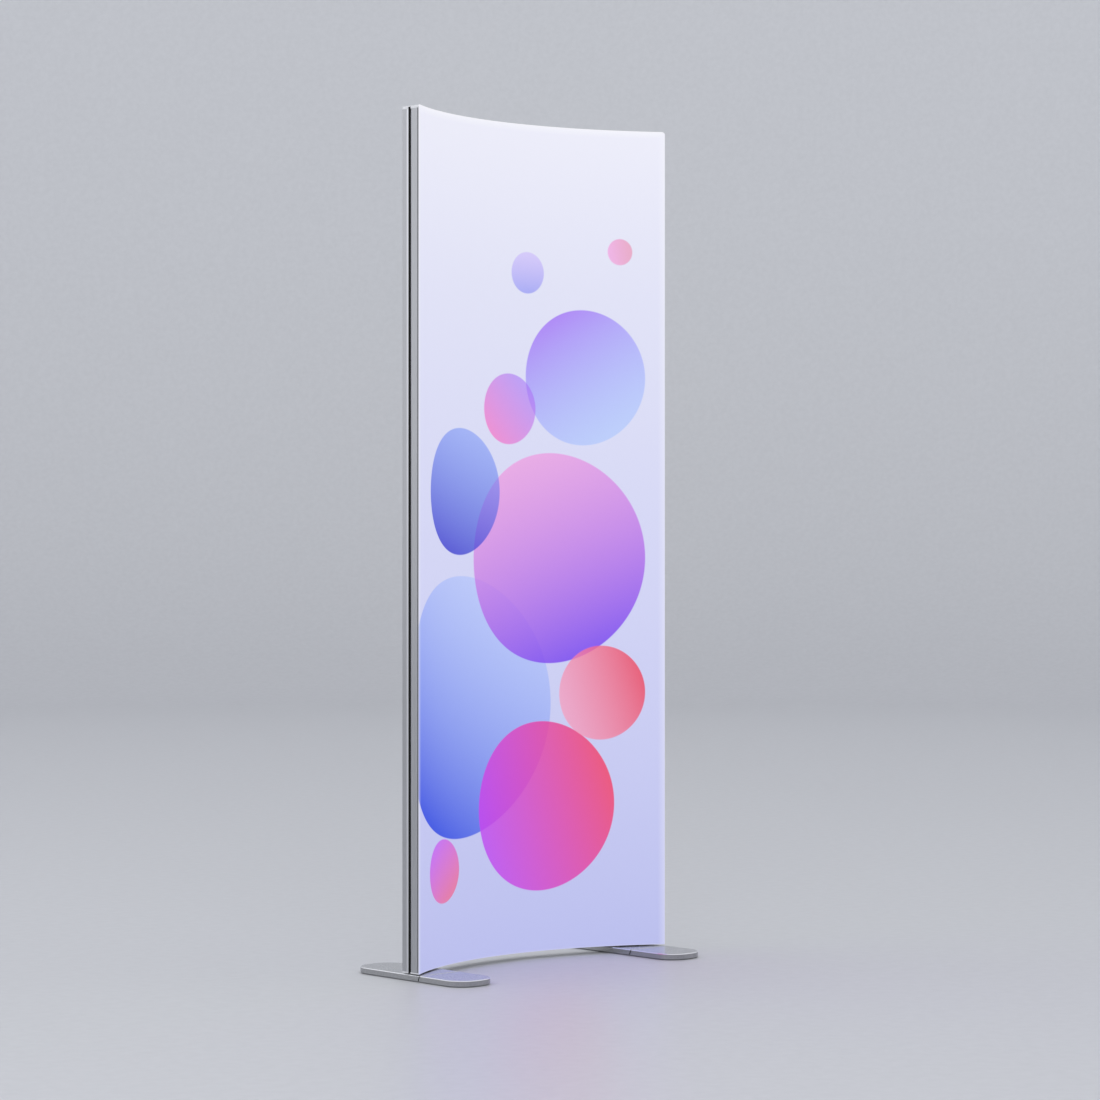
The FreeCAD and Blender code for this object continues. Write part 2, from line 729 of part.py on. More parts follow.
def on_curve(name, turn, length, low, high, up, shift="0"):
    """A block square to the frame's curve: turned about the centre, shifted along the curve."""
    block = doc.addObject("Part::Box", name)
    bind(block, "Length", length)
    bind(block, "Width", f"({high}) - ({low})")
    bind(block, "Height", f"({up[1]}) - ({up[0]})")
    start = f"(({shift}) - ({length}) / 2)"
    bind(block, "Placement.Rotation.Angle", f"-{turn}")
    place(block, f"{start} * cos({turn}) + ({low}) * sin({turn})",
          f"arc_centre - {start} * sin({turn}) + ({low}) * cos({turn})", up[0])
    return block


def light_boards(level_name):
    """Light boards on a rail's inner face with their lenses, and the terminal on the right-hand board."""
    level = LEVELS[level_name]
    face = "lower_face" if level > 0 else "upper_face"
    low = "mid_radius - board_width / 2"
    high = "mid_radius + board_width / 2"
    up = (face, f"{face} + board_thick") if level > 0 else (f"{face} - board_thick", face)
    lenses = []
    for number in range(1, BOARDS + 1):
        name = f"{level_name}_light_board_{number}"
        turn = board_turn(number)
        node(on_curve(name, turn, "board_length", low, high, up), name)
        for step in LENSES:
            lens = doc.addObject("Part::Cone", f"{name}_lens_{step + 2}")
            bind(lens, "Radius1", "lens_base / 2" if level > 0 else "lens_tip / 2")
            bind(lens, "Radius2", "lens_tip / 2" if level > 0 else "lens_base / 2")
            bind(lens, "Height", "lens_height")
            along = f"({step} * lens_spacing)"
            place(lens, f"{along} * cos({turn}) + mid_radius * sin({turn})",
                  f"arc_centre - {along} * sin({turn}) + mid_radius * cos({turn})",
                  f"{up[1]}" if level > 0 else f"{up[0]} - lens_height")
            lenses.append(lens)
    node(grouped(f"{level_name}_lenses", lenses), f"{level_name}_lenses")
    stack = (up[1], f"{up[1]} + terminal_height") if level > 0 else (f"{up[0]} - terminal_height", up[0])
    node(on_curve(f"{level_name}_terminal", board_turn(BOARDS), "terminal_length",
                  "mid_radius - terminal_width / 2", "mid_radius + terminal_width / 2", stack,
                  "(board_length - terminal_length) / 2"), f"{level_name}_terminal")


def power_supply():
    """A slim supply on a plate that is screwed to the right post's inner face."""
    plan = [
        ("supply_in", "supply_front + supply_edge"), ("supply_in + supply_edge", "supply_front"),
        ("supply_out", "supply_front"), ("supply_out", "supply_back"),
        ("supply_in + supply_edge", "supply_back"), ("supply_in", "supply_back - supply_edge"),
    ]
    case = padded("power_supply_case", "XY_Plane", [plan], "supply_length")
    place(case, "0", "0", "supply_base")
    node(case, "power_supply")
    slab = box("supply_plate_slab", ("supply_out", "inner_half"), ("supply_front", "supply_back"),
               ("supply_base - supply_ear", "supply_top + supply_ear"))
    holes = [rod(f"supply_plate_hole_{end}", "screw_diameter", "supply_plate", "supply_out", "supply_mid",
                 supply_screw_z(end), "+X") for end in ("low", "high")]
    holes.append(rod("supply_plate_wire", "wire_hole", "supply_plate", "supply_out", "supply_mid",
                     "inlet_z", "+X"))
    node(cut("supply_plate_cut", slab, holes), "supply_plate")
    screws = [screw(f"supply_screw_{end}", "supply_out", "supply_mid", supply_screw_z(end), "+X")
              for end in ("low", "high")]
    node(grouped("supply_screws_group", screws), "supply_screws")


def wire(name, points, bend):
    """A wire along straight runs joined by tangent arcs of one bend radius."""
    edges = []
    start = points[0]
    for before, corner, after in zip(points, points[1:], points[2:]):
        inward = (before - corner).normalize()
        onward = (after - corner).normalize()
        half_turn = (math.pi - inward.getAngle(onward)) / 2
        trim = bend * math.tan(half_turn)
        arc_start = corner + inward * trim
        arc_end = corner + onward * trim
        bisector = (inward + onward).normalize()
        arc_mid = corner + bisector * (bend / math.cos(half_turn) - bend)
        edges.append(Part.LineSegment(start, arc_start).toShape())
        edges.append(Part.Arc(arc_start, arc_mid, arc_end).toShape())
        start = arc_end
    edges.append(Part.LineSegment(start, points[-1]).toShape())
    route = Part.Wire(edges)
    radius = size("wire_diameter") / 2
    ring_edge = Part.Circle(points[0], points[1] - points[0], radius).toShape()
    tube = route.makePipeShell([Part.Wire([ring_edge])], True, True)
    expected = math.pi * radius ** 2 * route.Length
    print(name, "length", round(route.Length, 1), "volume ratio", round(tube.Volume / expected, 4))
    piece = doc.addObject("Part::Feature", name)
    piece.Shape = tube
    piece.Placement = FreeCAD.Placement()
    return node(piece, name)


def terminal_entry(level_name):
    """The last two points of a rail's wire: square out from the terminal's end, then that end's middle."""
    level = LEVELS[level_name]
    turn = math.radians((BOARDS - 1) / 2 / BOARDS * size("board_span"))
    depth = size("board_thick") + size("terminal_height") / 2
    face = size("lower_face") if level > 0 else size("upper_face")
    radial = FreeCAD.Vector(math.sin(turn), math.cos(turn), 0)
    tangent = FreeCAD.Vector(math.cos(turn), -math.sin(turn), 0)
    centre = FreeCAD.Vector(0, size("arc_centre"), face + level * depth)
    end = centre + radial * size("mid_radius") + tangent * (size("board_length") / 2)
    return [end + tangent * size("wire_lead_in"), end]


def wires():
    """Mains wire from inlet to supply, and the two low-voltage wires from the supply to the rails."""
    bend = size("wire_bend")
    inlet = FreeCAD.Vector(size("inlet_back"), size("inlet_y"), size("inlet_z"))
    through = FreeCAD.Vector(size("supply_out"), size("supply_mid"), size("inlet_z"))
    turn_x = (size("chamber_in") + size("inlet_back")) / 2
    wire("mains_wire", [inlet, FreeCAD.Vector(turn_x, inlet.y, inlet.z),
                        FreeCAD.Vector(turn_x, through.y, through.z), through], size("mains_wire_bend"))
    edge = size("wire_diameter") / 2 + size("wire_edge_gap")
    riser_x = size("supply_out") - edge - size("wire_diameter")
    riser_y = size("supply_back") - edge
    top = terminal_entry("top")
    wire("riser_wire", [FreeCAD.Vector(riser_x, riser_y, size("supply_top")),
                        FreeCAD.Vector(riser_x, riser_y, top[0].z)] + top, bend)
    bottom = terminal_entry("bottom")
    tail_x = size("supply_in") + edge + size("supply_edge")
    tail_y = size("supply_mid")
    wire("tail_wire", [FreeCAD.Vector(tail_x, tail_y, size("supply_base")),
                       FreeCAD.Vector(tail_x, tail_y, bottom[0].z)] + bottom, bend)


def mains_inlet():
    """Snap-in inlet in the right post: flange, body, socket with three pins and a rocker well."""
    front = "inlet_seat + inlet_flange_thick"
    flange = box("inlet_flange", ("inlet_seat", front), about("inlet_y", "inlet_flange_width"),
                 about("inlet_z", "inlet_flange_height"))
    body = box("inlet_body", ("inlet_back", "inlet_seat"), about("inlet_y", "inlet_body_width"),
               about("inlet_z", "inlet_body_height"))
    half_width, half_height = "socket_width / 2", "socket_height / 2"
    socket = padded("inlet_socket", "YZ_Plane", [[
        (f"-{half_width}", f"-{half_height}"), (half_width, f"-{half_height}"),
        (half_width, f"{half_height} - socket_corner"),
        (f"{half_width} - socket_corner", half_height),
        (f"-{half_width} + socket_corner", half_height),
        (f"-{half_width}", f"{half_height} - socket_corner"),
    ]], "socket_depth")
    place(socket, "socket_floor", "inlet_y", "socket_z")
    well = box("rocker_well", (f"{front} - rocker_well_depth", front),
               about("inlet_y", "rocker_width + 2 * rocker_gap"),
               about("rocker_z", "rocker_height + 2 * trunnion_clearance"))
    bearing_length = "(rocker_height + 2 * trunnion_length + 2 * trunnion_clearance)"
    bearing = rod("rocker_bearing", "trunnion_diameter + 2 * trunnion_clearance", bearing_length,
                  "rocker_x", "inlet_y", f"rocker_z - {bearing_length} / 2")
    shell = joined("inlet_shell", [flange, body])
    node(cut("inlet_cut", shell, [socket, well, bearing]), "mains_inlet")
    pins = []
    for number, across in enumerate((-1, 0, 1)):
        rise = "pin_rise" if across == 0 else "-pin_rise"
        pins.append(box(f"inlet_pin_{number}", ("socket_floor", "socket_floor + pin_length"),
                        about(f"inlet_y + {across} * pin_spacing", "pin_width"),
                        about(f"socket_z + {rise}", "pin_height")))
    node(grouped("inlet_pins_group", pins), "inlet_pins")


def power_rocker():
    """The switch's rocker, resting tilted to on, with a trunnion at each end of its axis."""
    half = "rocker_width / 2"
    keel = "rocker_keel_width / 2"
    rocker = padded("power_rocker_block", "XY_Plane", [[
        ("rocker_crown", f"-{half}"), ("rocker_crown - rocker_dip", "0"), ("rocker_crown", half),
        ("-rocker_skirt", half), ("-rocker_keel", keel), ("-rocker_keel", f"-{keel}"),
        ("-rocker_skirt", f"-{half}"),
    ]], "rocker_height")
    bind(rocker, "Placement.Rotation.Angle", "rocker_tilt * 1deg")
    place(rocker, "rocker_x", "inlet_y", "rocker_z - rocker_height / 2")
    length = "(rocker_height + 2 * trunnion_length)"
    trunnions = rod("rocker_trunnions", "trunnion_diameter", length, "rocker_x", "inlet_y",
                    f"rocker_z - {length} / 2")
    return node(joined("power_rocker_piece", [rocker, trunnions]), "power_rocker")


def rounded_plate(name, profile, end_y):
    """A foot plate: side profile pushed across the foot, with the corners of its free end rounded and all
    its upper and lower edges broken."""
    body = padded(name, "YZ_Plane", [profile], "foot_width")
    doc.recompute()
    pad = body.Tip
    end = size("foot_length") / 2 * end_y
    corners = [edge for edge in edges_along(pad.Shape, FreeCAD.Vector(0, 0, 1))
               if abs(pad.Shape.getElement(edge).CenterOfMass.y - end) < TOUCHING]
    rounded = body.newObject("PartDesign::Fillet", name + "_corners")
    rounded.Base = (pad, corners)
    bind(rounded, "Radius", "foot_corner")
    doc.recompute()
    flats = [f"Face{number}" for number, face in enumerate(rounded.Shape.Faces, start=1)
             if face.normalAt(0, 0).cross(FreeCAD.Vector(0, 0, 1)).Length < TOUCHING]
    broken = body.newObject("PartDesign::Chamfer", name + "_edges")
    broken.Base = (rounded, flats)
    bind(broken, "Size", "foot_edge")
    return body


def pad_places(side, end_y):
    """Middles of the two pads under one plate."""
    y = f"{end_y} * (foot_length / 2 - pad_from_end)"
    return [(f"{side} * pivot_x + {across} * pad_spacing / 2", y) for across in (-1, 1)]


def splice_places(side, ends):
    """Middles of the splice screws on the toe's side (-1) or the rear plate's side (1) of the seam."""
    return [(f"{side} * pivot_x + {across} * splice_hole_spacing / 2",
             f"seam_y + {end} * splice_hole_spacing / 2") for across in (-1, 1) for end in ends]


def foot_recesses(name, side, end_y):
    """Cuts in the underside of one plate: pads, half of the splice plate's bed and its screw holes."""
    tools = [rod(f"{name}_pad_bed_{number}", "pad_diameter + 2 * pad_clearance", "pad_recess", x, y,
                 "plate_base") for number, (x, y) in enumerate(pad_places(side, end_y))]
    bed_top = "plate_base + splice_thick + splice_clearance"
    half_bed = "(splice_length / 2 + splice_clearance)"
    tools.append(box(f"{name}_splice_bed", splice_span(side, "splice_clearance"),
                     (f"seam_y - {half_bed}", f"seam_y + {half_bed}"), ("plate_base", bed_top)))
    tools += [rod(f"{name}_splice_hole_{number}", "screw_diameter", "splice_screw_reach", x, y, bed_top)
              for number, (x, y) in enumerate(splice_places(side, (end_y,)))]
    return tools


def splice_span(side, clearance):
    half = f"(splice_width / 2 + {clearance})"
    return f"{side} * pivot_x - {half}", f"{side} * pivot_x + {half}"


def foot(where):
    """One foot: rear plate and toe that meet at a raked seam under the front face, spliced below."""
    side = SIDES[where]
    edge_x = span(side, "half_width - foot_width", "half_width")[0]
    half = "foot_length / 2"
    rear_name = f"{where}_foot_plate"
    rear = rounded_plate(rear_name + "_blank", [
        ("seam_y", "foot_thick"), ("seam_y + seam_rake", "0"), (half, "0"), (half, "foot_thick")], 1)
    place(rear, edge_x, "0", "plate_base")
    bore = rod(rear_name + "_bore", "shoulder_diameter + 2 * shoulder_clearance", "foot_thick",
               f"{side} * pivot_x", "pivot_y", "plate_base")
    sink = rod(rear_name + "_sink", "bolt_head_diameter + 2 * bolt_head_room",
               "bolt_head_sink + bolt_head_height + bolt_head_clearance",
               f"{side} * pivot_x", "pivot_y", "plate_base")
    node(cut(rear_name, rear, [bore, sink] + foot_recesses(rear_name, side, 1)), rear_name)
    toe_name = f"{where}_toe_plate"
    toe = rounded_plate(toe_name + "_blank", [
        (f"-{half}", "0"), ("seam_y + seam_rake - seam_gap", "0"), ("seam_y - seam_gap", "foot_thick"),
        (f"-{half}", "foot_thick")], -1)
    place(toe, edge_x, "0", "plate_base")
    node(cut(toe_name, toe, foot_recesses(toe_name, side, -1)), toe_name)
    splice(where, side)
    pads = []
    for end_y in (-1, 1):
        for number, (x, y) in enumerate(pad_places(side, end_y)):
            pads.append(rod(f"{where}_pad_{end_y + 1}_{number}", "pad_diameter", "pad_thick", x, y, "0"))
    node(grouped(f"{where}_foot_pads", pads), f"{where}_foot_pads")


def splice(where, side):
    """The plate that ties toe and rear plate together from below, and its countersunk screws."""
    base = "plate_base + splice_clearance"
    slab = box(f"{where}_splice_slab", splice_span(side, "0"),
               ("seam_y - splice_length / 2", "seam_y + splice_length / 2"),
               (base, f"{base} + splice_thick"))
    screws = []
    seats = []
    for number, (x, y) in enumerate(splice_places(side, (-1, 1))):
        cones = []
        for use in ("seat", "head"):
            cone = doc.addObject("Part::Cone", f"{where}_splice_{use}_{number}")
            bind(cone, "Radius1", "screw_head_diameter / 2")
            bind(cone, "Radius2", "screw_diameter / 2")
            bind(cone, "Height", "splice_thick")
            place(cone, x, y, base)
            cones.append(cone)
        seats.append(cones[0])
        shank = rod(f"{where}_splice_shank_{number}", "screw_diameter", "splice_screw_reach", x, y,
                    f"{base} + splice_thick")
        screws.append(joined(f"{where}_splice_screw_{number}", [cones[1], shank]))
    node(cut(f"{where}_splice_cut", slab, seats), f"{where}_splice_plate")
    node(grouped(f"{where}_splice_screw_group", screws), f"{where}_splice_screws")


def foot_pivot(where):
    """The shoulder bolt on which a foot swivels, its nut in the rail's groove and the washer between."""
    side = SIDES[where]
    x, y = f"{side} * pivot_x", "pivot_y"
    head, shoulder, thread = "bolt_head_diameter / 2", "shoulder_diameter / 2", "thread_diameter / 2"
    shoulder_top = "frame_base - head_top"
    thread_top = shoulder_top + " + groove_lip + nut_height"
    bolt = turned(f"{where}_pivot_bolt_body", [
        ("0", "-bolt_head_height"), (head, "-bolt_head_height"), (head, "0"), (shoulder, "0"),
        (shoulder, shoulder_top), (thread, shoulder_top), (thread, thread_top), ("0", thread_top),
    ], x, y, "head_top")
    node(bolt, f"{where}_pivot_bolt")
    hole = shoulder + " + shoulder_clearance"
    washer = turned(f"{where}_washer_body", [
        (hole, "0"), ("washer_diameter / 2", "0"), ("washer_diameter / 2", "washer_thick"),
        (hole, "washer_thick"),
    ], x, y, "plate_top")
    node(washer, f"{where}_pivot_washer")
    hexagon = doc.addObject("Part::Prism", f"{where}_nut_hexagon")
    hexagon.Polygon = 6
    bind(hexagon, "Circumradius", "nut_across_flats / sqrt(3)")
    bind(hexagon, "Height", "nut_height")
    place(hexagon, x, y, "frame_base + groove_lip")
    nut_hole = rod(f"{where}_nut_thread", "thread_diameter", "nut_height", x, y, "frame_base + groove_lip")
    node(cut(f"{where}_nut_cut", hexagon, [nut_hole]), f"{where}_pivot_nut")


def build():
    fill_sheet()
    front_fabric()
    rear_fabric()
    for where in SIDES:
        post(where)
        groove_seal(where)
        for level_name in LEVELS:
            post_cap(where, level_name)
            corner_bracket(where, level_name)
    for level_name in LEVELS:
        rail(level_name)
        light_boards(level_name)
    top_seal()
    bracket_screws()
    cross_brace()
    front_bead()
    rear_bead()
    power_supply()
    wires()
    mains_inlet()
    power_rocker()
    for where in SIDES:
        foot(where)
        foot_pivot(where)
    doc.recompute()


def write_pieces():
    """Check every object of the document, then write each piece to its own file."""
    failed = [thing.Name for thing in doc.Objects if {"Invalid", "Error"} & set(thing.State)]
    if failed:
        raise RuntimeError("not built: " + ", ".join(failed))
    for piece in nodes:
        shape = piece.Shape
        if shape.isNull() or not shape.isValid() or not shape.Solids:
            raise RuntimeError("bad shape: " + piece.Label)
    os.makedirs("parts", exist_ok=True)
    for piece in nodes:
        piece.Shape.exportStep(f"parts/{piece.Label}.step")
    print(len(nodes), "pieces written")


build()
write_pieces()
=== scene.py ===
# %% [markdown]
# # A curved fabric light box, dressed for its picture
# The object is a free-standing display. Two drawn aluminium posts and two roll-bent rails make a
# concave frame, a printed cloth is stretched over the front and lit from inside, a plain cloth
# closes the back, and two flat steel feet keep it upright. The construction comes in as solids.
# This lesson adds the cloths, the finishes, the light and the camera around them.

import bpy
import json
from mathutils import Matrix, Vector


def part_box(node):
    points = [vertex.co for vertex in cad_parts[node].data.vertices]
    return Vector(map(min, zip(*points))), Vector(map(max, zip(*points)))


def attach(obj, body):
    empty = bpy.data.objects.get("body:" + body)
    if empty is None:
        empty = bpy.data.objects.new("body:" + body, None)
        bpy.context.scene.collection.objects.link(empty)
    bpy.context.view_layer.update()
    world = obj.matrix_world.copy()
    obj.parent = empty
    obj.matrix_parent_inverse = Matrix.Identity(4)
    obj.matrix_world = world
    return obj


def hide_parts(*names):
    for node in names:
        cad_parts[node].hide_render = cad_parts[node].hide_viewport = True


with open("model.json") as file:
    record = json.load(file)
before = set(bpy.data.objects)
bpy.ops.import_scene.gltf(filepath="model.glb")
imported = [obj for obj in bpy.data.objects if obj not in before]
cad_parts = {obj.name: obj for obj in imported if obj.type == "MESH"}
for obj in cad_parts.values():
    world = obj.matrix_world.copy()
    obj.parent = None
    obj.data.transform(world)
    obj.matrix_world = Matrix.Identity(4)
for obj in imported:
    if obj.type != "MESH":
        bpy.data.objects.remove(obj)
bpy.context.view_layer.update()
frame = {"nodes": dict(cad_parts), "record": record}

# %% Modules and the scene
import json
import math

import bmesh
import bpy
from mathutils import Vector

scene = bpy.context.scene
scene.view_settings.view_transform = "Standard"
MM = 0.001
print("one millimetre is", MM, "scene units")

# %% [markdown]
# ## Colours and nodes
# Paint charts and pictures give colours as sRGB hex values, but a shader works on linear light,
# so one function converts them. A second one adds a node: it sets the node's properties and a colour
# ramp's stops, then fills each socket with a value or links it to another node's output. Every
# material below is made with these two, which keeps each recipe short enough to read in one go.

# %% Colour and node helpers
def colour(code):
    """Linear RGBA of an sRGB hex value such as "#c8c9cc"."""
    shares = [int(code[i:i + 2], 16) / 255 for i in (1, 3, 5)]
    linear = [s / 12.92 if s <= 0.04045 else ((s + 0.055) / 1.055) ** 2.4 for s in shares]
    return (*linear, 1.0)


def add(tree, kind, sockets=None, stops=(), **settings):
    """Adds one node. Sockets maps a socket's name or number to a value or to another node's output,
    and stops lists a colour ramp's places and hex colours, in rising order."""
    node = tree.nodes.new(kind)
    for name, value in settings.items():
        setattr(node, name, value)
    for number, (place, code) in enumerate(stops):
        ramp = node.color_ramp.elements
        stop = ramp[number] if number < len(ramp) else ramp.new(place)
        stop.position = place
        stop.color = colour(code)
    for socket, value in (sockets or {}).items():
        if isinstance(value, bpy.types.NodeSocket):
            tree.links.new(value, node.inputs[socket])
        else:
            node.inputs[socket].default_value = value
    return node


print("white is", [round(c, 3) for c in colour("#ffffff")])

# %% [markdown]
# A material starts as a bare Principled shader with its constants on its own sockets. What varies
# over the surface is linked to it afterwards. Most of it comes from a noise texture, whose values
# seldom leave the range given here, so two close shades are spread over that range.

# %% Start a material
NOISE_LOW = 0.3
NOISE_HIGH = 0.7


def start(name, **constants):
    """A new material's node tree and its shader, whose sockets hold these constants."""
    material = bpy.data.materials.new(name)
    material.use_nodes = True
    tree = material.node_tree
    shader = tree.nodes["Principled BSDF"]
    for socket, value in constants.items():
        shader.inputs[socket.replace("_", " ")].default_value = value
    return tree, shader


finishes = {}

# %% [markdown]
# ## Camera
# A product picture like this one is taken level with a long lens, so the upright edges stay
# upright. Tilting the camera would make them converge, so it stays level, and a small lens
# shift puts the horizon where the picture has it. The focal length and the horizon are given in
# pixels of the 1100 pixel square image, because that is how they can be measured.

# %% Camera
IMAGE_SIDE = 1100
FOCAL_PIXELS = 3300
HORIZON_ROW = 521.1
CAMERA_YAW = math.radians(43.26)
CAMERA_PLACE = (-5.375, -5.774, 1.060)
SENSOR = 36.0
QUARTER_TURN = math.radians(90)

camera_data = bpy.data.cameras.new("picture_camera")
camera_data.sensor_width = SENSOR
camera_data.sensor_fit = "HORIZONTAL"
camera_data.lens = SENSOR * FOCAL_PIXELS / IMAGE_SIDE
camera_data.shift_y = (HORIZON_ROW - IMAGE_SIDE / 2) / IMAGE_SIDE
camera = bpy.data.objects.new("picture_camera", camera_data)
camera.location = CAMERA_PLACE
camera.rotation_euler = (QUARTER_TURN, 0, -CAMERA_YAW)
scene.collection.objects.link(camera)
scene.camera = camera
print("lens", round(camera_data.lens, 1), "mm, shift", round(camera_data.shift_y, 4))

# %% [markdown]
# ## Studio
# A studio sweep is a floor that curves up into a wall, so no horizon line crosses the picture.
# A straight sweep has a front and a back. This one is a bowl, the same profile turned through a
# full circle, so the object can be seen from any side. Its grey is a little darker than the lit
# cloth, which lets the cloth read as a light source on a pale ground.

# %% Studio bowl
FLOOR_RINGS = (0.0, 2.0, 6.0)
FLOOR_RADIUS = 11.0
COVE_RADIUS = 3.0
WALL_TOP = 6.0
COVE_STEPS = 16
BOWL_STEPS = 128

profile = [(ring, 0.0) for ring in FLOOR_RINGS]
for step in range(COVE_STEPS + 1):
    turn = QUARTER_TURN * step / COVE_STEPS
    profile.append((FLOOR_RADIUS + COVE_RADIUS * math.sin(turn), COVE_RADIUS * (1 - math.cos(turn))))
profile.append((FLOOR_RADIUS + COVE_RADIUS, WALL_TOP))

bowl_mesh = bmesh.new()
points = [bowl_mesh.verts.new((r, 0, z)) for r, z in profile]
edges = [bowl_mesh.edges.new(pair) for pair in zip(points, points[1:])]
bmesh.ops.spin(bowl_mesh, geom=points + edges, cent=(0, 0, 0), axis=(0, 0, 1),
               angle=4 * QUARTER_TURN, steps=BOWL_STEPS, use_merge=True)
bmesh.ops.remove_doubles(bowl_mesh, verts=bowl_mesh.verts, dist=MM)
bmesh.ops.recalc_face_normals(bowl_mesh, faces=bowl_mesh.faces)
for face in bowl_mesh.faces:
    face.smooth = True
bowl_data = bpy.data.meshes.new("studio_bowl")
bowl_mesh.to_mesh(bowl_data)
bowl_mesh.free()
bowl = bpy.data.objects.new("studio_bowl", bowl_data)
scene.collection.objects.link(bowl)
print("studio bowl:", len(bowl_data.polygons), "faces")

# %% [markdown]
# The studio is painted in an eggshell finish. It looks matt from above and keeps a soft gloss at low
# angles, so the lit cloth draws a faint tint on the floor. The roller leaves a mottle, which keeps the
# grey from looking like a screen fill. An upright wall gets less light from above than the floor
# does, so its paint is mixed paler as it rises.

# %% Eggshell studio paint
MOTTLE = 30 * MM
PALE_FROM = 0.2
PALE_AT = 3.0

tree, shader = start("eggshell_studio_paint", Roughness=0.40, IOR=1.45)
place = add(tree, "ShaderNodeTexCoord").outputs["Object"]
level = add(tree, "ShaderNodeSeparateXYZ", {"Vector": place}).outputs["Z"]
rise = add(tree, "ShaderNodeMapRange", {"Value": level, "From Min": PALE_FROM, "From Max": PALE_AT})
mottle = add(tree, "ShaderNodeTexNoise", {"Vector": place, "Scale": 1 / MOTTLE, "Detail": 3.0})
floor_paint = add(tree, "ShaderNodeValToRGB", {"Fac": mottle.outputs["Fac"]},
                  stops=[(NOISE_LOW, "#c9cace"), (NOISE_HIGH, "#cdced2")])
wall_paint = add(tree, "ShaderNodeValToRGB", {"Fac": mottle.outputs["Fac"]},
                 stops=[(NOISE_LOW, "#e2e3e6"), (NOISE_HIGH, "#e6e7ea")])
paint = add(tree, "ShaderNodeMix", {0: rise.outputs["Result"], 6: floor_paint.outputs["Color"],
            7: wall_paint.outputs["Color"]}, data_type="RGBA")
tree.links.new(paint.outputs[2], shader.inputs["Base Color"])
bowl_data.materials.append(bpy.data.materials["eggshell_studio_paint"])
print("floor and wall are painted")

# %% [markdown]
# ## Light
# Plain soft light: an even grey sky gives most of it, and four large softboxes shape the metal.
# The levels are set so that a colour renders about as it is written. A softbox's share of a
# surface's brightness falls with the square of its distance, so its power is worked out from the
# share that it should give at the object. Each one is wide for its power, so that its mirror image
# in the metal stays below white.

# %% Sky and softboxes
SKY_SHARE = 0.92
AIM = Vector((0, 0, 1.0))
SOFTBOXES = {
    "key_softbox": {"place": (-4.2, -4.6, 4.4), "side": 5.0, "share": 0.14},
    "fill_softbox": {"place": (4.6, -4.4, 2.6), "side": 3.0, "share": 0.05},
    "rear_softbox": {"place": (-4.6, 5.0, 3.0), "side": 5.0, "share": 0.10},
    "side_softbox": {"place": (-7.0, 0.6, 3.2), "side": 5.0, "share": 0.10},
}

world = bpy.data.worlds.new("studio_sky")
world.use_nodes = True
sky = world.node_tree.nodes["Background"]
sky.inputs["Color"].default_value = colour("#f4f6fa")
sky.inputs["Strength"].default_value = SKY_SHARE
scene.world = world

for name, box in SOFTBOXES.items():
    lamp = bpy.data.lights.new(name, "AREA")
    lamp.shape = "SQUARE"
    lamp.size = box["side"]
    stand = Vector(box["place"])
    # A lamp of P watts gives a white surface that faces it from d metres a share of P / (pi * d) ** 2.
    lamp.energy = box["share"] * math.pi ** 2 * (stand - AIM).length_squared
    softbox = bpy.data.objects.new(name, lamp)
    softbox.location = stand
    softbox.rotation_euler = (AIM - stand).to_track_quat("-Z", "Y").to_euler()
    scene.collection.objects.link(softbox)
    print(name, round(lamp.energy), "W")

# %% [markdown]
# ## Stretched cloth
# A light box print is a knitted polyester cloth with a silicone strip sewn along its edge. The
# strip is pressed into a slot all round the frame, and that pulls the cloth as tight as a drum.
# It could be simulated, but a cloth under even tension has no folds: it is exactly the frame's
# arc, rolled over the frame's four edges. So it is built as a grid on the arc, and its border is
# carried over the edge in rings and tucked into the slot.

# %% Read the frame's sizes
front_low, front_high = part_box("front_fabric")
rear_low, rear_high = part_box("rear_fabric")
HALF_WIDTH = front_high.x
FRONT_RADIUS = 720 * MM
REAR_RADIUS = 770 * MM
ARC_CENTRE = front_low.y - math.sqrt(FRONT_RADIUS ** 2 - HALF_WIDTH ** 2)
print("arc centre at y =", round(ARC_CENTRE, 4), "m, half width", round(HALF_WIDTH, 4), "m")

# %% [markdown]
# The grid's lines are even, apart from a few closer ones along the border. They make a small square
# in each corner. The two top corners of the frame are rounded, so there the square is pressed into a
# quarter disc: each of its points keeps its ring and moves to that ring's round.

# %% Places on the cloth
COLUMNS = 64
ROWS = 40
CORNER_STEPS = 4
ON_LINE = 1e-9


def lines(low, high, steps):
    """Evenly spaced places from low up to, but not including, high."""
    return [low + (high - low) * i / steps for i in range(steps)]


def grid_lines(low, high, bend, steps):
    """Places from low to high, with closer ones within the corner's bend at both ends."""
    first = lines(low, low + bend, CORNER_STEPS)
    last = lines(high - bend, high, CORNER_STEPS)
    return first + lines(low + bend, high - bend, steps) + last + [high]


def arc_y(radius, x):
    """Where an arc about the frame's centre crosses the plane at x."""
    return ARC_CENTRE + math.sqrt(radius ** 2 - x ** 2)


def seat(x, z, wide, bottom, top, bend):
    """A grid place with the top corners rounded, and its outward way if it is on the border."""
    side = math.copysign(1, x)
    beside = abs(x) - (wide - bend)
    above = z - (top - bend)
    if beside > ON_LINE and above > ON_LINE:
        reach = max(beside, above) / math.hypot(beside, above)
        way = (side * beside * reach / bend, above * reach / bend)
        return side * (wide - bend) + way[0] * bend, top - bend + way[1] * bend, way
    way = (side * (abs(x) > wide - ON_LINE), (z > top - ON_LINE) - (z < bottom + ON_LINE))
    return x, z, way


print("each cloth has", COLUMNS + 2 * CORNER_STEPS, "x", ROWS + 2 * CORNER_STEPS, "squares")

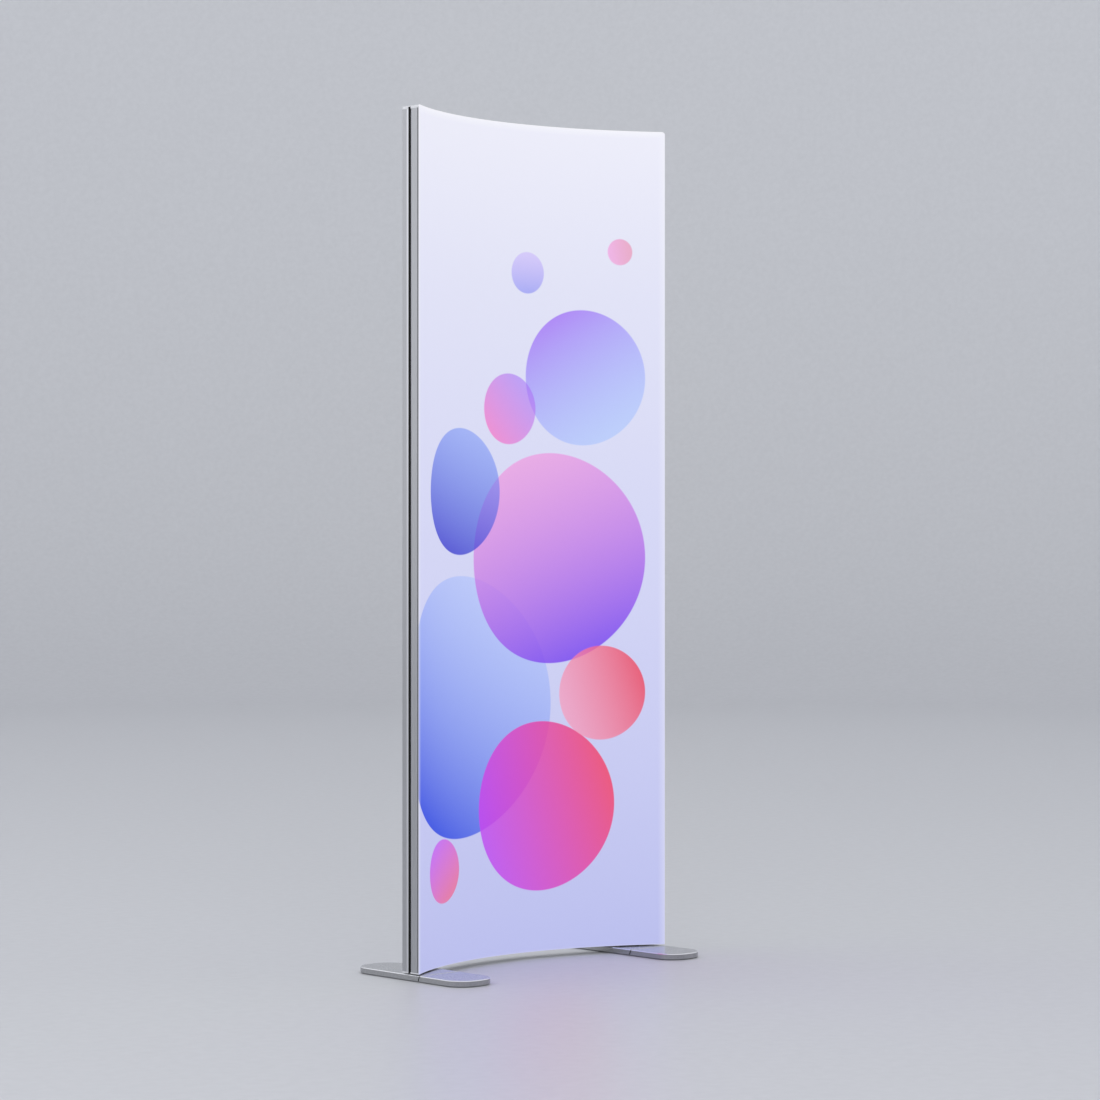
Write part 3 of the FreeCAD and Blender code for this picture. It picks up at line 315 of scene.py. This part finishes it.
# %% [markdown]
# A cloth is flat before it is stretched, and the print is drawn on it flat. So each point also
# remembers its place on the flat cloth in metres: the arc is unrolled to its length, and the rings
# over the edge are laid out beyond it. That map becomes the mesh's UV map.

# %% Turn faces into a cloth
CLOTH_THICK = 0.5 * MM
SHARP_TURN = math.radians(60)


def cloth_object(name, made, faces, flat_place):
    """An object with these faces, its flat map in metres and the cloth's thickness."""
    flat_map = made.loops.layers.uv.new("print_metres")
    for corners in faces:
        face = made.faces.new(corners)
        face.smooth = True
        for loop in face.loops:
            loop[flat_map].uv = flat_place[loop.vert]
    data = bpy.data.meshes.new(name)
    made.to_mesh(data)
    made.free()
    data.set_sharp_from_angle(angle=SHARP_TURN)
    cloth = bpy.data.objects.new(name, data)
    scene.collection.objects.link(cloth)
    thickness = cloth.modifiers.new("cloth_thickness", "SOLIDIFY")
    thickness.thickness = CLOTH_THICK
    thickness.offset = -1
    print(name, len(data.polygons), "faces")
    return cloth


print("the cloth is", CLOTH_THICK / MM, "mm thick")

# %% [markdown]
# From the grid's border the cloth goes on in rings: a few steps round the frame's edge, one straight
# back to the slot and one into it. Each point keeps the outward way of its place on the border, so the
# rounded corners stay round.

# %% Build a stretched cloth
ROLL_STEPS = 8
EDGE_ROLL = 1.0 * MM


def stretched_cloth(name, radius, inwards, half_width, low, high, corner, slot_radius, tuck):
    """A cloth bent to an arc, rolled over its edges, brought back to the slot and tucked in."""
    wide = half_width - EDGE_ROLL
    bottom = low + EDGE_ROLL
    top = high - EDGE_ROLL
    bend = corner - EDGE_ROLL
    made = bmesh.new()
    flat_place = {}
    seats = {}
    grid = []
    faces = []

    def point(x, z, way, out, depth):
        """A vertex at an outline place, moved out along way and back by depth from the arc."""
        x = x + way[0] * out
        z = z + way[1] * out
        vertex = made.verts.new((x, arc_y(radius, x) + inwards * depth, z))
        flat_place[vertex] = (radius * math.asin(x / radius) + way[0] * depth, z + way[1] * depth)
        return vertex

    for z in grid_lines(bottom, top, bend, ROWS):
        grid.append([])
        for x in grid_lines(-wide, wide, bend, COLUMNS):
            seated = seat(x, z, wide, bottom, top, bend)
            vertex = point(*seated, 0, 0)
            seats[vertex] = seated
            grid[-1].append(vertex)
    for lower, upper in zip(grid, grid[1:]):
        for i in range(len(lower) - 1):
            faces.append((lower[i], lower[i + 1], upper[i + 1], upper[i]))

    border = grid[0] + [row[-1] for row in grid[1:]]
    border += grid[-1][-2::-1] + [row[0] for row in grid[-2:0:-1]]
    ring_before = border
    # The last two rings, after the roll, lie at the slot and in it.
    for step in range(1, ROLL_STEPS + 3):
        ring = []
        for vertex in border:
            x, z, way = seats[vertex]
            edge_x = x + way[0] * EDGE_ROLL
            to_slot = abs(arc_y(slot_radius, edge_x) - arc_y(radius, edge_x))
            turn = QUARTER_TURN * min(step, ROLL_STEPS) / ROLL_STEPS
            out = EDGE_ROLL * math.sin(turn) - tuck * (step == ROLL_STEPS + 2)
            depth = to_slot if step > ROLL_STEPS else EDGE_ROLL * (1 - math.cos(turn))
            ring.append(point(x, z, way, out, depth))
        for i in range(len(ring)):
            j = (i + 1) % len(ring)
            faces.append((ring_before[i], ring[i], ring[j], ring_before[j]))
        ring_before = ring

    if inwards < 0:
        faces = [corners[::-1] for corners in faces]
    return cloth_object(name, made, faces, flat_place)


print("the edge rolls over in", ROLL_STEPS, "steps")

# %% [markdown]
# The front print goes round the edge into a slot in the side of the frame. The rear cloth ends at a
# lip, and its slot opens to the back, so it has no tuck.

# %% Front print and rear cloth
TOP_CORNER = 7 * MM
REAR_CORNER = 5 * MM
FRONT_SLOT_RADIUS = 722.2 * MM
REAR_SLOT_RADIUS = 767 * MM
TUCK = 1.5 * MM

front_print = stretched_cloth("front_print_cloth", FRONT_RADIUS, 1, HALF_WIDTH, front_low.z,
                              front_high.z, TOP_CORNER, FRONT_SLOT_RADIUS, TUCK)
rear_cloth = stretched_cloth("rear_plain_cloth", REAR_RADIUS, -1, rear_high.x, rear_low.z,
                             rear_high.z, REAR_CORNER, REAR_SLOT_RADIUS, 0)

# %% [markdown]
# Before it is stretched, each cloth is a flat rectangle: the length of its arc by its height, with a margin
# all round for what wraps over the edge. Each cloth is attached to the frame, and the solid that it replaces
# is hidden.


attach(front_print, "frame")
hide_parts("front_fabric")
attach(rear_cloth, "frame")
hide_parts("rear_fabric")

# %% [markdown]
# ## The print
# Both cloths are a fine knit. Its loops could be modelled, but they are far too small for that, so
# two crossed waves in the bump stand for its upright wales and its rows of loops.

# %% Knit of the cloth
# A backlit knit has loops about 0.4 mm wide. They are drawn 1.6 mm wide so that they show.
LOOP = 1.6 * MM
LOOP_HEIGHT = 0.1 * MM
# Blender's wave texture turns through 20 radians per unit of its scale.
WAVE_TURNS = 20


def knit_bump(tree, place):
    """The normal of a fine knit: upright wales crossed by rows of loops."""
    scale = 2 * math.pi / WAVE_TURNS / LOOP
    waves = [add(tree, "ShaderNodeTexWave", {"Vector": place, "Scale": scale},
                 bands_direction=way).outputs["Fac"] for way in ("X", "Y")]
    loops = add(tree, "ShaderNodeMath", {0: waves[0], 1: waves[1]}, operation="MULTIPLY")
    bump = add(tree, "ShaderNodeBump", {"Height": loops.outputs[0], "Strength": 0.25,
               "Distance": LOOP_HEIGHT})
    return bump.outputs["Normal"]


print("knit loops are drawn", round(LOOP / MM, 1), "mm wide")

# %% [markdown]
# The cloth is dyed by a heat transfer, so the colours are in the yarn and the light comes through
# them. The ground runs from lavender at the foot to almost white at the top. The design on it is a
# plain one of overlapping see-through discs. An image would fix its resolution, so each disc is
# worked out from the distance to its centre, on the map of the flat cloth: a soft rim, a colour
# that runs from one side of the disc to the other, and a strength that does too.

# %% Discs of the design
# Each disc: where its centre is across and up the cloth, its radius, the way its colour runs in
# degrees from the right, and its first and last colour, each with how strong it is.
DISCS = [
    ((-0.19, 0.62), 0.310, 60, "#2f4fe2", 0.95, "#9dbcff", 0.42),
    ((0.12, 0.97), 0.255, 110, "#7a40ee", 0.90, "#f285da", 0.62),
    ((0.09, 0.37), 0.205, 20, "#c044f0", 0.88, "#f03f68", 0.90),
    ((-0.19, 1.13), 0.150, 250, "#6c92f5", 0.60, "#2b2fcf", 0.88),
    ((0.26, 0.64), 0.115, 200, "#ec3651", 0.86, "#f898b8", 0.70),
    ((0.21, 1.41), 0.165, 300, "#a066f4", 0.80, "#8fbcff", 0.45),
    ((-0.01, 1.33), 0.085, 45, "#f270c8", 0.78, "#a974f5", 0.68),
    ((-0.27, 0.24), 0.075, 130, "#f06088", 0.78, "#c94cf2", 0.78),
    ((0.05, 1.66), 0.050, 90, "#7b82f2", 0.65, "#c3a4fb", 0.45),
    ((0.31, 1.72), 0.032, 10, "#f49bdf", 0.70, "#ea6f9c", 0.60),
]
SOFT_RIM = 1.5 * MM


def lay_disc(tree, place, under, disc):
    """The colours under a see-through disc, with the disc laid over them."""
    centre, radius, run, first, first_strength, last, last_strength = disc
    middle = (*centre, 0)
    way = (math.cos(math.radians(run)), math.sin(math.radians(run)), 0)
    along = centre[0] * way[0] + centre[1] * way[1]
    away = add(tree, "ShaderNodeVectorMath", {0: place, 1: middle}, operation="DISTANCE")
    inside = add(tree, "ShaderNodeMapRange", {"Value": away.outputs["Value"],
                 "From Min": radius + SOFT_RIM, "From Max": radius - SOFT_RIM},
                 interpolation_type="SMOOTHSTEP")
    run_place = add(tree, "ShaderNodeVectorMath", {0: place, 1: way}, operation="DOT_PRODUCT")
    run_share = add(tree, "ShaderNodeMapRange", {"Value": run_place.outputs["Value"],
                    "From Min": along - radius, "From Max": along + radius})
    strength = add(tree, "ShaderNodeMapRange", {"Value": run_share.outputs["Result"],
                   "To Min": first_strength, "To Max": last_strength})
    cover = add(tree, "ShaderNodeMath", {0: inside.outputs["Result"], 1: strength.outputs["Result"]},
                operation="MULTIPLY")
    dye = add(tree, "ShaderNodeValToRGB", {"Fac": run_share.outputs["Result"]},
              stops=[(0.0, first), (1.0, last)]).outputs["Color"]
    laid = add(tree, "ShaderNodeMix", {0: cover.outputs[0], 6: under, 7: dye}, data_type="RGBA")
    return laid.outputs[2]


print(len(DISCS), "discs, the largest", round(2 * max(d[1] for d in DISCS), 2), "m across")

# %% Ground of the print
GROUND = [(0.0, "#bec2ef"), (0.45, "#d4d6f4"), (0.8, "#e2e3f5"), (1.0, "#ededf8")]

tree, shader = start("backlit_printed_knit", Roughness=0.85, Specular_IOR_Level=0.2)
place = add(tree, "ShaderNodeUVMap", uv_map="print_metres").outputs["UV"]
parts = add(tree, "ShaderNodeSeparateXYZ", {"Vector": place})
height = add(tree, "ShaderNodeMapRange", {"Value": parts.outputs["Y"], "From Min": front_low.z,
             "From Max": front_high.z}).outputs["Result"]
dyed = add(tree, "ShaderNodeValToRGB", {"Fac": height}, stops=GROUND).outputs["Color"]
for disc in DISCS:
    dyed = lay_disc(tree, place, dyed, disc)
print("the print's ground runs over", round(front_high.z - front_low.z, 2), "m")

# %% [markdown]
# The edge of a light box glows a little, as light leaks along the profile. So the print is painted paler
# towards white along its sides and its top, in the light it gives off and in its own colour too: a painted
# glow over the last 18 mm, and a painted highlight in a fine line on the rim, where the cloth rolls over the
# edge. The lower rim has only the line. Past the rim the cloth lies on metal, so less light comes through it
# there.

# %% Glow of the print's edges
SOFT_GLOW = 18 * MM
RIM = 3 * MM
ON_METAL = 0.8 * MM
LIGHT_ON_METAL = 0.55

half_print = FRONT_RADIUS * math.asin(HALF_WIDTH / FRONT_RADIUS)
across = add(tree, "ShaderNodeMath", {0: parts.outputs["X"]}, operation="ABSOLUTE").outputs[0]
# Each edge: the place across it, where it lies, the way inwards, and its soft and its rim share.
EDGES = [
    (across, half_print, -1, 0.25, 0.55),
    (parts.outputs["Y"], front_high.z, -1, 0.40, 0.90),
    (parts.outputs["Y"], front_low.z, 1, 0.0, 0.22),
]
glow = 0.0
backlight = 1.0
for along, edge, inwards, soft_share, rim_share in EDGES:
    for share, reach in ((soft_share, SOFT_GLOW), (rim_share, RIM)):
        fade = add(tree, "ShaderNodeMapRange", {"Value": along, "From Min": edge, "To Min": share,
                   "From Max": edge + inwards * reach, "To Max": 0.0})
        glow = add(tree, "ShaderNodeMath", {0: fade.outputs["Result"], 1: glow},
                   operation="MAXIMUM").outputs[0]
    shade = add(tree, "ShaderNodeMapRange", {"Value": along, "From Min": edge, "To Min": 1.0,
                "From Max": edge - inwards * ON_METAL, "To Max": LIGHT_ON_METAL})
    backlight = add(tree, "ShaderNodeMath", {0: shade.outputs["Result"], 1: backlight},
                    operation="MULTIPLY").outputs[0]
# The painted glow whitens the colour that is used both for the light given off and for the cloth's own
# colour.
lit = add(tree, "ShaderNodeMix", {0: glow, 6: dyed, 7: colour("#ffffff")}, data_type="RGBA").outputs[2]
print("the edge glows over", round(SOFT_GLOW / MM), "mm")

# %% [markdown]
# Most of the brightness comes from inside, and a smaller share is studio light on the cloth, so the
# colour is used twice, once as light given off and once, darker, as the cloth's own colour.

# %% Backlit printed knit
LIGHT_FROM_INSIDE = 0.80
CLOTH_SHARE = 0.26
BLACK = colour("#000000")

light = add(tree, "ShaderNodeMath", {0: backlight, 1: LIGHT_FROM_INSIDE}, operation="MULTIPLY")
cloth = add(tree, "ShaderNodeMix", {0: 1 - CLOTH_SHARE, 6: lit, 7: BLACK}, data_type="RGBA")
tree.links.new(light.outputs[0], shader.inputs["Emission Strength"])
tree.links.new(lit, shader.inputs["Emission Color"])
tree.links.new(cloth.outputs[2], shader.inputs["Base Color"])
tree.links.new(knit_bump(tree, place), shader.inputs["Normal"])
front_print.data.materials.append(bpy.data.materials["backlit_printed_knit"])
finishes["front_print"] = "backlit_printed_knit"
print("print material:", len(tree.nodes), "nodes")

# %% [markdown]
# The back is closed by an undyed cloth of the same knit. The lamps stand along the top and bottom
# rails and face inwards, so it is brightest towards both ends and a shade cooler in the middle.

# %% Backlit plain knit
UNDYED = [(0.0, "#f2f3fa"), (0.12, "#ebecf6"), (0.5, "#e0e2f0"), (0.88, "#ebecf6"), (1.0, "#f2f3fa")]

tree, shader = start("backlit_plain_knit", Roughness=0.85, Emission_Strength=0.62, Specular_IOR_Level=0.2)
place = add(tree, "ShaderNodeUVMap", uv_map="print_metres").outputs["UV"]
parts = add(tree, "ShaderNodeSeparateXYZ", {"Vector": place})
height = add(tree, "ShaderNodeMapRange", {"Value": parts.outputs["Y"], "From Min": rear_low.z,
             "From Max": rear_high.z}).outputs["Result"]
undyed = add(tree, "ShaderNodeValToRGB", {"Fac": height}, stops=UNDYED).outputs["Color"]
cloth = add(tree, "ShaderNodeMix", {0: 1 - CLOTH_SHARE, 6: undyed, 7: BLACK}, data_type="RGBA")
tree.links.new(undyed, shader.inputs["Emission Color"])
tree.links.new(cloth.outputs[2], shader.inputs["Base Color"])
tree.links.new(knit_bump(tree, place), shader.inputs["Normal"])
rear_cloth.data.materials.append(bpy.data.materials["backlit_plain_knit"])
finishes["rear_print"] = "backlit_plain_knit"
print("rear cloth has its finish")

# %% [markdown]
# ## Aluminium
# The posts and rails are drawn through a die, etched matt and anodised clear, which makes their reflection
# soft and silvery. The bevels beside the groove and the rounded corners, which face between two sides, carry
# a painted highlight: their colour is painted brighter than that of the flat faces, so they draw fine light
# lines down the post. The die also leaves hairlines along the length. A noise that is stretched along the
# draw gives them: it shifts the roughness and scores a very low bump. Posts are drawn upright and rails
# sideways, so the recipe takes the direction.

# %% Drawn aluminium
# Die lines are about 0.2 mm apart. They are drawn 1.2 mm apart so that they show.
DIE_LINE = 1.2 * MM
DRAW_LENGTH = 900 * MM
DIE_DEPTH = 0.05 * MM
GLOSS_CHANGE = 0.05
# Painted highlight: how much of the metal's brightness is kept, by how far the surface turns from the side
# to the front; faces between the two keep all of it.
BEVEL_HIGHLIGHT = [(0.1, "#d2d2d2"), (0.3, "#ffffff"), (0.6, "#ffffff"), (0.75, "#d2d2d2")]


def drawn_aluminium(name, draw_axis, dark, light, roughness):
    """Aluminium with hairlines along one axis, and a painted highlight where it faces between two sides."""
    tree, shader = start(name, Metallic=1.0)
    stretch = [1 / DIE_LINE] * 3
    stretch["XYZ".index(draw_axis)] = 1 / DRAW_LENGTH
    spot = add(tree, "ShaderNodeTexCoord")
    along = add(tree, "ShaderNodeMapping", {"Vector": spot.outputs["Object"], "Scale": stretch})
    hairs = add(tree, "ShaderNodeTexNoise", {"Vector": along.outputs["Vector"], "Scale": 1.0,
                "Detail": 3.0}).outputs["Fac"]
    metal = add(tree, "ShaderNodeValToRGB", {"Fac": hairs}, stops=[(NOISE_LOW, dark), (NOISE_HIGH, light)])
    facing = add(tree, "ShaderNodeSeparateXYZ", {"Vector": spot.outputs["Normal"]})
    turned = add(tree, "ShaderNodeMath", {0: facing.outputs["Y"]}, operation="ABSOLUTE")
    # The bevels' brightness is a painted highlight, multiplied into the metal's colour.
    bevel_highlight = add(tree, "ShaderNodeValToRGB", {"Fac": turned.outputs[0]}, stops=BEVEL_HIGHLIGHT)
    highlighted_metal = add(tree, "ShaderNodeMix", {0: 1.0, 6: metal.outputs["Color"], 7: bevel_highlight.outputs["Color"]},
                 data_type="RGBA", blend_type="MULTIPLY")
    rough = add(tree, "ShaderNodeMapRange", {"Value": hairs, "From Min": NOISE_LOW, "From Max": NOISE_HIGH,
                "To Min": roughness - GLOSS_CHANGE, "To Max": roughness + GLOSS_CHANGE})
    bump = add(tree, "ShaderNodeBump", {"Height": hairs, "Strength": 0.12, "Distance": DIE_DEPTH})
    tree.links.new(highlighted_metal.outputs[2], shader.inputs["Base Color"])
    tree.links.new(rough.outputs["Result"], shader.inputs["Roughness"])
    tree.links.new(bump.outputs["Normal"], shader.inputs["Normal"])
    return name


ANODISED = ("#cecfd3", "#dadbdf", 0.34)
finishes["frame_aluminium"] = drawn_aluminium("satin_anodised_aluminium_upright", "Z", *ANODISED)
rail_finish = drawn_aluminium("satin_anodised_aluminium_sideways", "X", *ANODISED)
finishes["brace_aluminium"] = drawn_aluminium("mill_finish_aluminium", "X", "#dfe0e1", "#e9eaeb", 0.28)
print("posts, rails and brace have their metal")

# %% [markdown]
# ## Grained finishes
# Most of the other pieces have a fine even grain: spark-eroded moulds leave it on plastics, spray
# leaves an orange peel on paint, and plating follows the grain of the steel below. They differ in
# colour, gloss, grain size and in whether the base is a metal, so one recipe makes them all. The
# width and the depth of the grain are given in millimetres.

# %% Grained finish
GRAIN_GLOSS_CHANGE = 0.04


def grained(name, dark, light, width_mm, depth_mm, roughness, **constants):
    """A finish with an even grain: two close shades, a little change of gloss and a low bump."""
    tree, shader = start(name, **constants)
    place = add(tree, "ShaderNodeTexCoord").outputs["Object"]
    grain = add(tree, "ShaderNodeTexNoise", {"Vector": place, "Scale": 1 / (width_mm * MM), "Detail": 4.0,
                "Roughness": 0.6}).outputs["Fac"]
    shade = add(tree, "ShaderNodeValToRGB", {"Fac": grain}, stops=[(NOISE_LOW, dark), (NOISE_HIGH, light)])
    rough = add(tree, "ShaderNodeMapRange", {"Value": grain, "From Min": NOISE_LOW, "From Max": NOISE_HIGH,
                "To Min": roughness - GRAIN_GLOSS_CHANGE, "To Max": roughness + GRAIN_GLOSS_CHANGE})
    bump = add(tree, "ShaderNodeBump", {"Height": grain, "Strength": 0.3, "Distance": depth_mm * MM})
    tree.links.new(shade.outputs["Color"], shader.inputs["Base Color"])
    tree.links.new(rough.outputs["Result"], shader.inputs["Roughness"])
    tree.links.new(bump.outputs["Normal"], shader.inputs["Normal"])
    return name


print(len(finishes), "finishes so far, the rest are grained")

# %% [markdown]
# The feet are flat steel plate, powder coated in satin silver. The powder holds fine metal flakes, so it is
# less bright than bare metal and mirrors only broad shapes, such as the lit cloth above. Over that, the
# coat's colour is painted by which way the surface faces: a painted shade makes the cut sides darkest, the
# upper face is painted lighter, and the bevelled rim between them is painted lightest, as a painted
# highlight.

# %% Silver coat of the feet
# Painted shade and highlight: the share of the coat's colour kept, by how far the surface faces upwards.
FACING_SHADES = [(0.1, "#aeaeae"), (0.4, "#ffffff"), (0.8, "#ffffff"), (0.98, "#cecece")]

finishes["foot_metal"] = grained("satin_silver_powder_coat_on_steel", "#eeeff2", "#f4f5f8", 0.8, 0.002, 0.26,
                                 Metallic=0.85)
coat = bpy.data.materials[finishes["foot_metal"]].node_tree
shader = coat.nodes["Principled BSDF"]
powder = shader.inputs["Base Color"].links[0].from_socket
spot = add(coat, "ShaderNodeTexCoord")
facing = add(coat, "ShaderNodeSeparateXYZ", {"Vector": spot.outputs["Normal"]})
painted_facing_shade = add(coat, "ShaderNodeValToRGB", {"Fac": facing.outputs["Z"]}, stops=FACING_SHADES)
shaded_powder = add(coat, "ShaderNodeMix", {0: 1.0, 6: powder, 7: painted_facing_shade.outputs["Color"]}, data_type="RGBA",
            blend_type="MULTIPLY")
print("feet have their powder coat")

# %% [markdown]
# Each foot is two plates, a rear one and a toe, with a narrow gap between them. The faces in the gap are
# painted almost black, a painted shade for the gap, so the seam shows as a fine black line from the side,
# and the bevels along it are painted no brighter than the top. All of them lie near the seam and face along
# the foot, the bevels less so than the faces.

# %% Seam of the feet
SEAM_REACH = 8 * MM
ENDWAYS = 0.5
# Painted shade in the seam: the bevels get the top's shade and the faces in the gap go almost black.
SEAM_SHADES = [(0.85, "#c1c2c5"), (0.92, "#161617")]

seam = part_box("left_foot_plate")[0].y
along_foot = add(coat, "ShaderNodeSeparateXYZ", {"Vector": spot.outputs["Object"]}).outputs["Y"]
near = add(coat, "ShaderNodeMath", {0: along_foot, 1: seam, 2: SEAM_REACH}, operation="COMPARE")
turned = add(coat, "ShaderNodeMath", {0: facing.outputs["Y"]}, operation="ABSOLUTE")
endways = add(coat, "ShaderNodeMath", {0: turned.outputs[0], 1: 1.0, 2: ENDWAYS}, operation="COMPARE")
seam_shade_mask = add(coat, "ShaderNodeMath", {0: near.outputs[0], 1: endways.outputs[0]}, operation="MULTIPLY")
seam_shade = add(coat, "ShaderNodeValToRGB", {"Fac": turned.outputs[0]}, stops=SEAM_SHADES)
coat_with_seam_shade = add(coat, "ShaderNodeMix", {0: seam_shade_mask.outputs[0], 6: shaded_powder.outputs[2], 7: seam_shade.outputs["Color"]},
             data_type="RGBA")
coat.links.new(coat_with_seam_shade.outputs[2], shader.inputs["Base Color"])
print("the seam lies at y =", round(seam, 4), "m")

# %% [markdown]
# Under the feet are moulded rubber pads, which are matt, and between each foot and the frame a turned
# nylon washer, which has a dull gloss.

# %% Pads and washers
finishes["pad_rubber"] = grained("moulded_black_rubber", "#131314", "#1c1c1d", 1.5, 0.05, 0.75, IOR=1.52)
finishes["washer_nylon"] = grained("turned_black_nylon", "#161617", "#202021", 1.2, 0.03, 0.5, IOR=1.53)
print("pads and washers have their finishes")

# %% [markdown]
# The ends of the posts are closed by moulded ABS caps in a pale grey. They are lighter and softer
# than the metal, which is what draws the fine pale line at the top and the bottom of each post. The
# strip in the joining groove is a black rubber that hardly shines, so the groove reads as a dark line.
# The strips sewn to the cloths are grey silicone with a waxy gloss.

# %% Caps, seals and sewn strips
finishes["cap_plastic"] = grained("moulded_pale_grey_abs", "#d8d9dc", "#e1e2e5", 1.0, 0.03, 0.45, IOR=1.54)
finishes["seal_rubber"] = grained("extruded_black_epdm", "#060607", "#0c0c0d", 1.5, 0.05, 0.8, IOR=1.5,
                                  Specular_IOR_Level=0.25)
finishes["bead_silicone"] = grained("extruded_grey_silicone", "#66686c", "#74767a", 1.5, 0.03, 0.5, IOR=1.41)
print("caps, seals and strips have their finishes")

# %% [markdown]
# The steel brackets and screws are zinc plated: a cool, fairly bright metal with a faint cloudiness
# from the plating bath.

# %% Brackets and screws
finishes["bracket_steel"] = grained("zinc_plated_steel", "#a9adb3", "#c0c4c9", 6.0, 0.02, 0.34, Metallic=1.0)
finishes["fastener_steel"] = grained("zinc_plated_fastener", "#a2a6ac", "#bcc0c5", 2.0, 0.02, 0.32,
                                     Metallic=1.0)
print("steel has its plating")

# %% [markdown]
# Inside, white light boards carry clear lenses, and a grey power supply feeds them through black
# wires. They are hidden by the cloths and still get the finish that they would have on the bench:
# the boards' solder mask and the supply's enamel have a soft gloss, the moulded acrylic is clear and
# sharp, and the nylon and the PVC are dull.

# %% Light boards and lenses
finishes["board_white"] = grained("white_solder_mask", "#e4e4e0", "#eeeeea", 1.0, 0.02, 0.4, IOR=1.5)
finishes["terminal_plastic"] = grained("moulded_natural_nylon", "#d6d5cd", "#e1e0d8", 1.0, 0.03, 0.5,
                                       IOR=1.53)
finishes["lens_acrylic"] = grained("clear_moulded_acrylic", "#f2f6f8", "#fafcfd", 3.0, 0.005, 0.08, IOR=1.49,
                                   Transmission_Weight=1.0)
finishes["supply_case"] = grained("light_grey_enamel_on_sheet", "#b6b8ba", "#c1c3c5", 1.5, 0.03, 0.42,
                                  IOR=1.5)
finishes["wire_pvc"] = grained("extruded_black_pvc", "#151515", "#1f1f1f", 2.0, 0.03, 0.5, IOR=1.53)
print("the lights and their supply have their finishes")

# %% [markdown]
# The mains inlet is moulded in matt black nylon with nickel-flashed pins, and the rocker beside it
# in polished black plastic.

# %% Inlet and rocker
finishes["inlet_plastic"] = grained("moulded_black_nylon", "#131313", "#1d1d1d", 0.8, 0.03, 0.5, IOR=1.53)
finishes["pin_brass"] = grained("nickel_flashed_brass", "#b9b3a2", "#cbc6b6", 2.0, 0.01, 0.25, Metallic=1.0)
finishes["rocker_plastic"] = grained("polished_black_abs", "#0c0c0d", "#131314", 3.0, 0.01, 0.18, IOR=1.54)
print(len(finishes), "finishes")

# %% [markdown]
# ## Dressing the frame
# Each solid names the finish it should have, so the materials are handed out by that name. Only the
# two rails differ from their group, because their hairlines run sideways.

# %% Hand out the finishes
slot_of = {row["node"]: row["material_slot"] for row in frame["record"]["subparts"]}
for name, piece in frame["nodes"].items():
    finish = rail_finish if name in ("top_rail", "bottom_rail") else finishes[slot_of[name]]
    if not piece.material_slots:
        piece.data.materials.append(None)
    for slot in piece.material_slots:
        slot.material = bpy.data.materials[finish]
print("dressed", len(frame["nodes"]), "nodes")
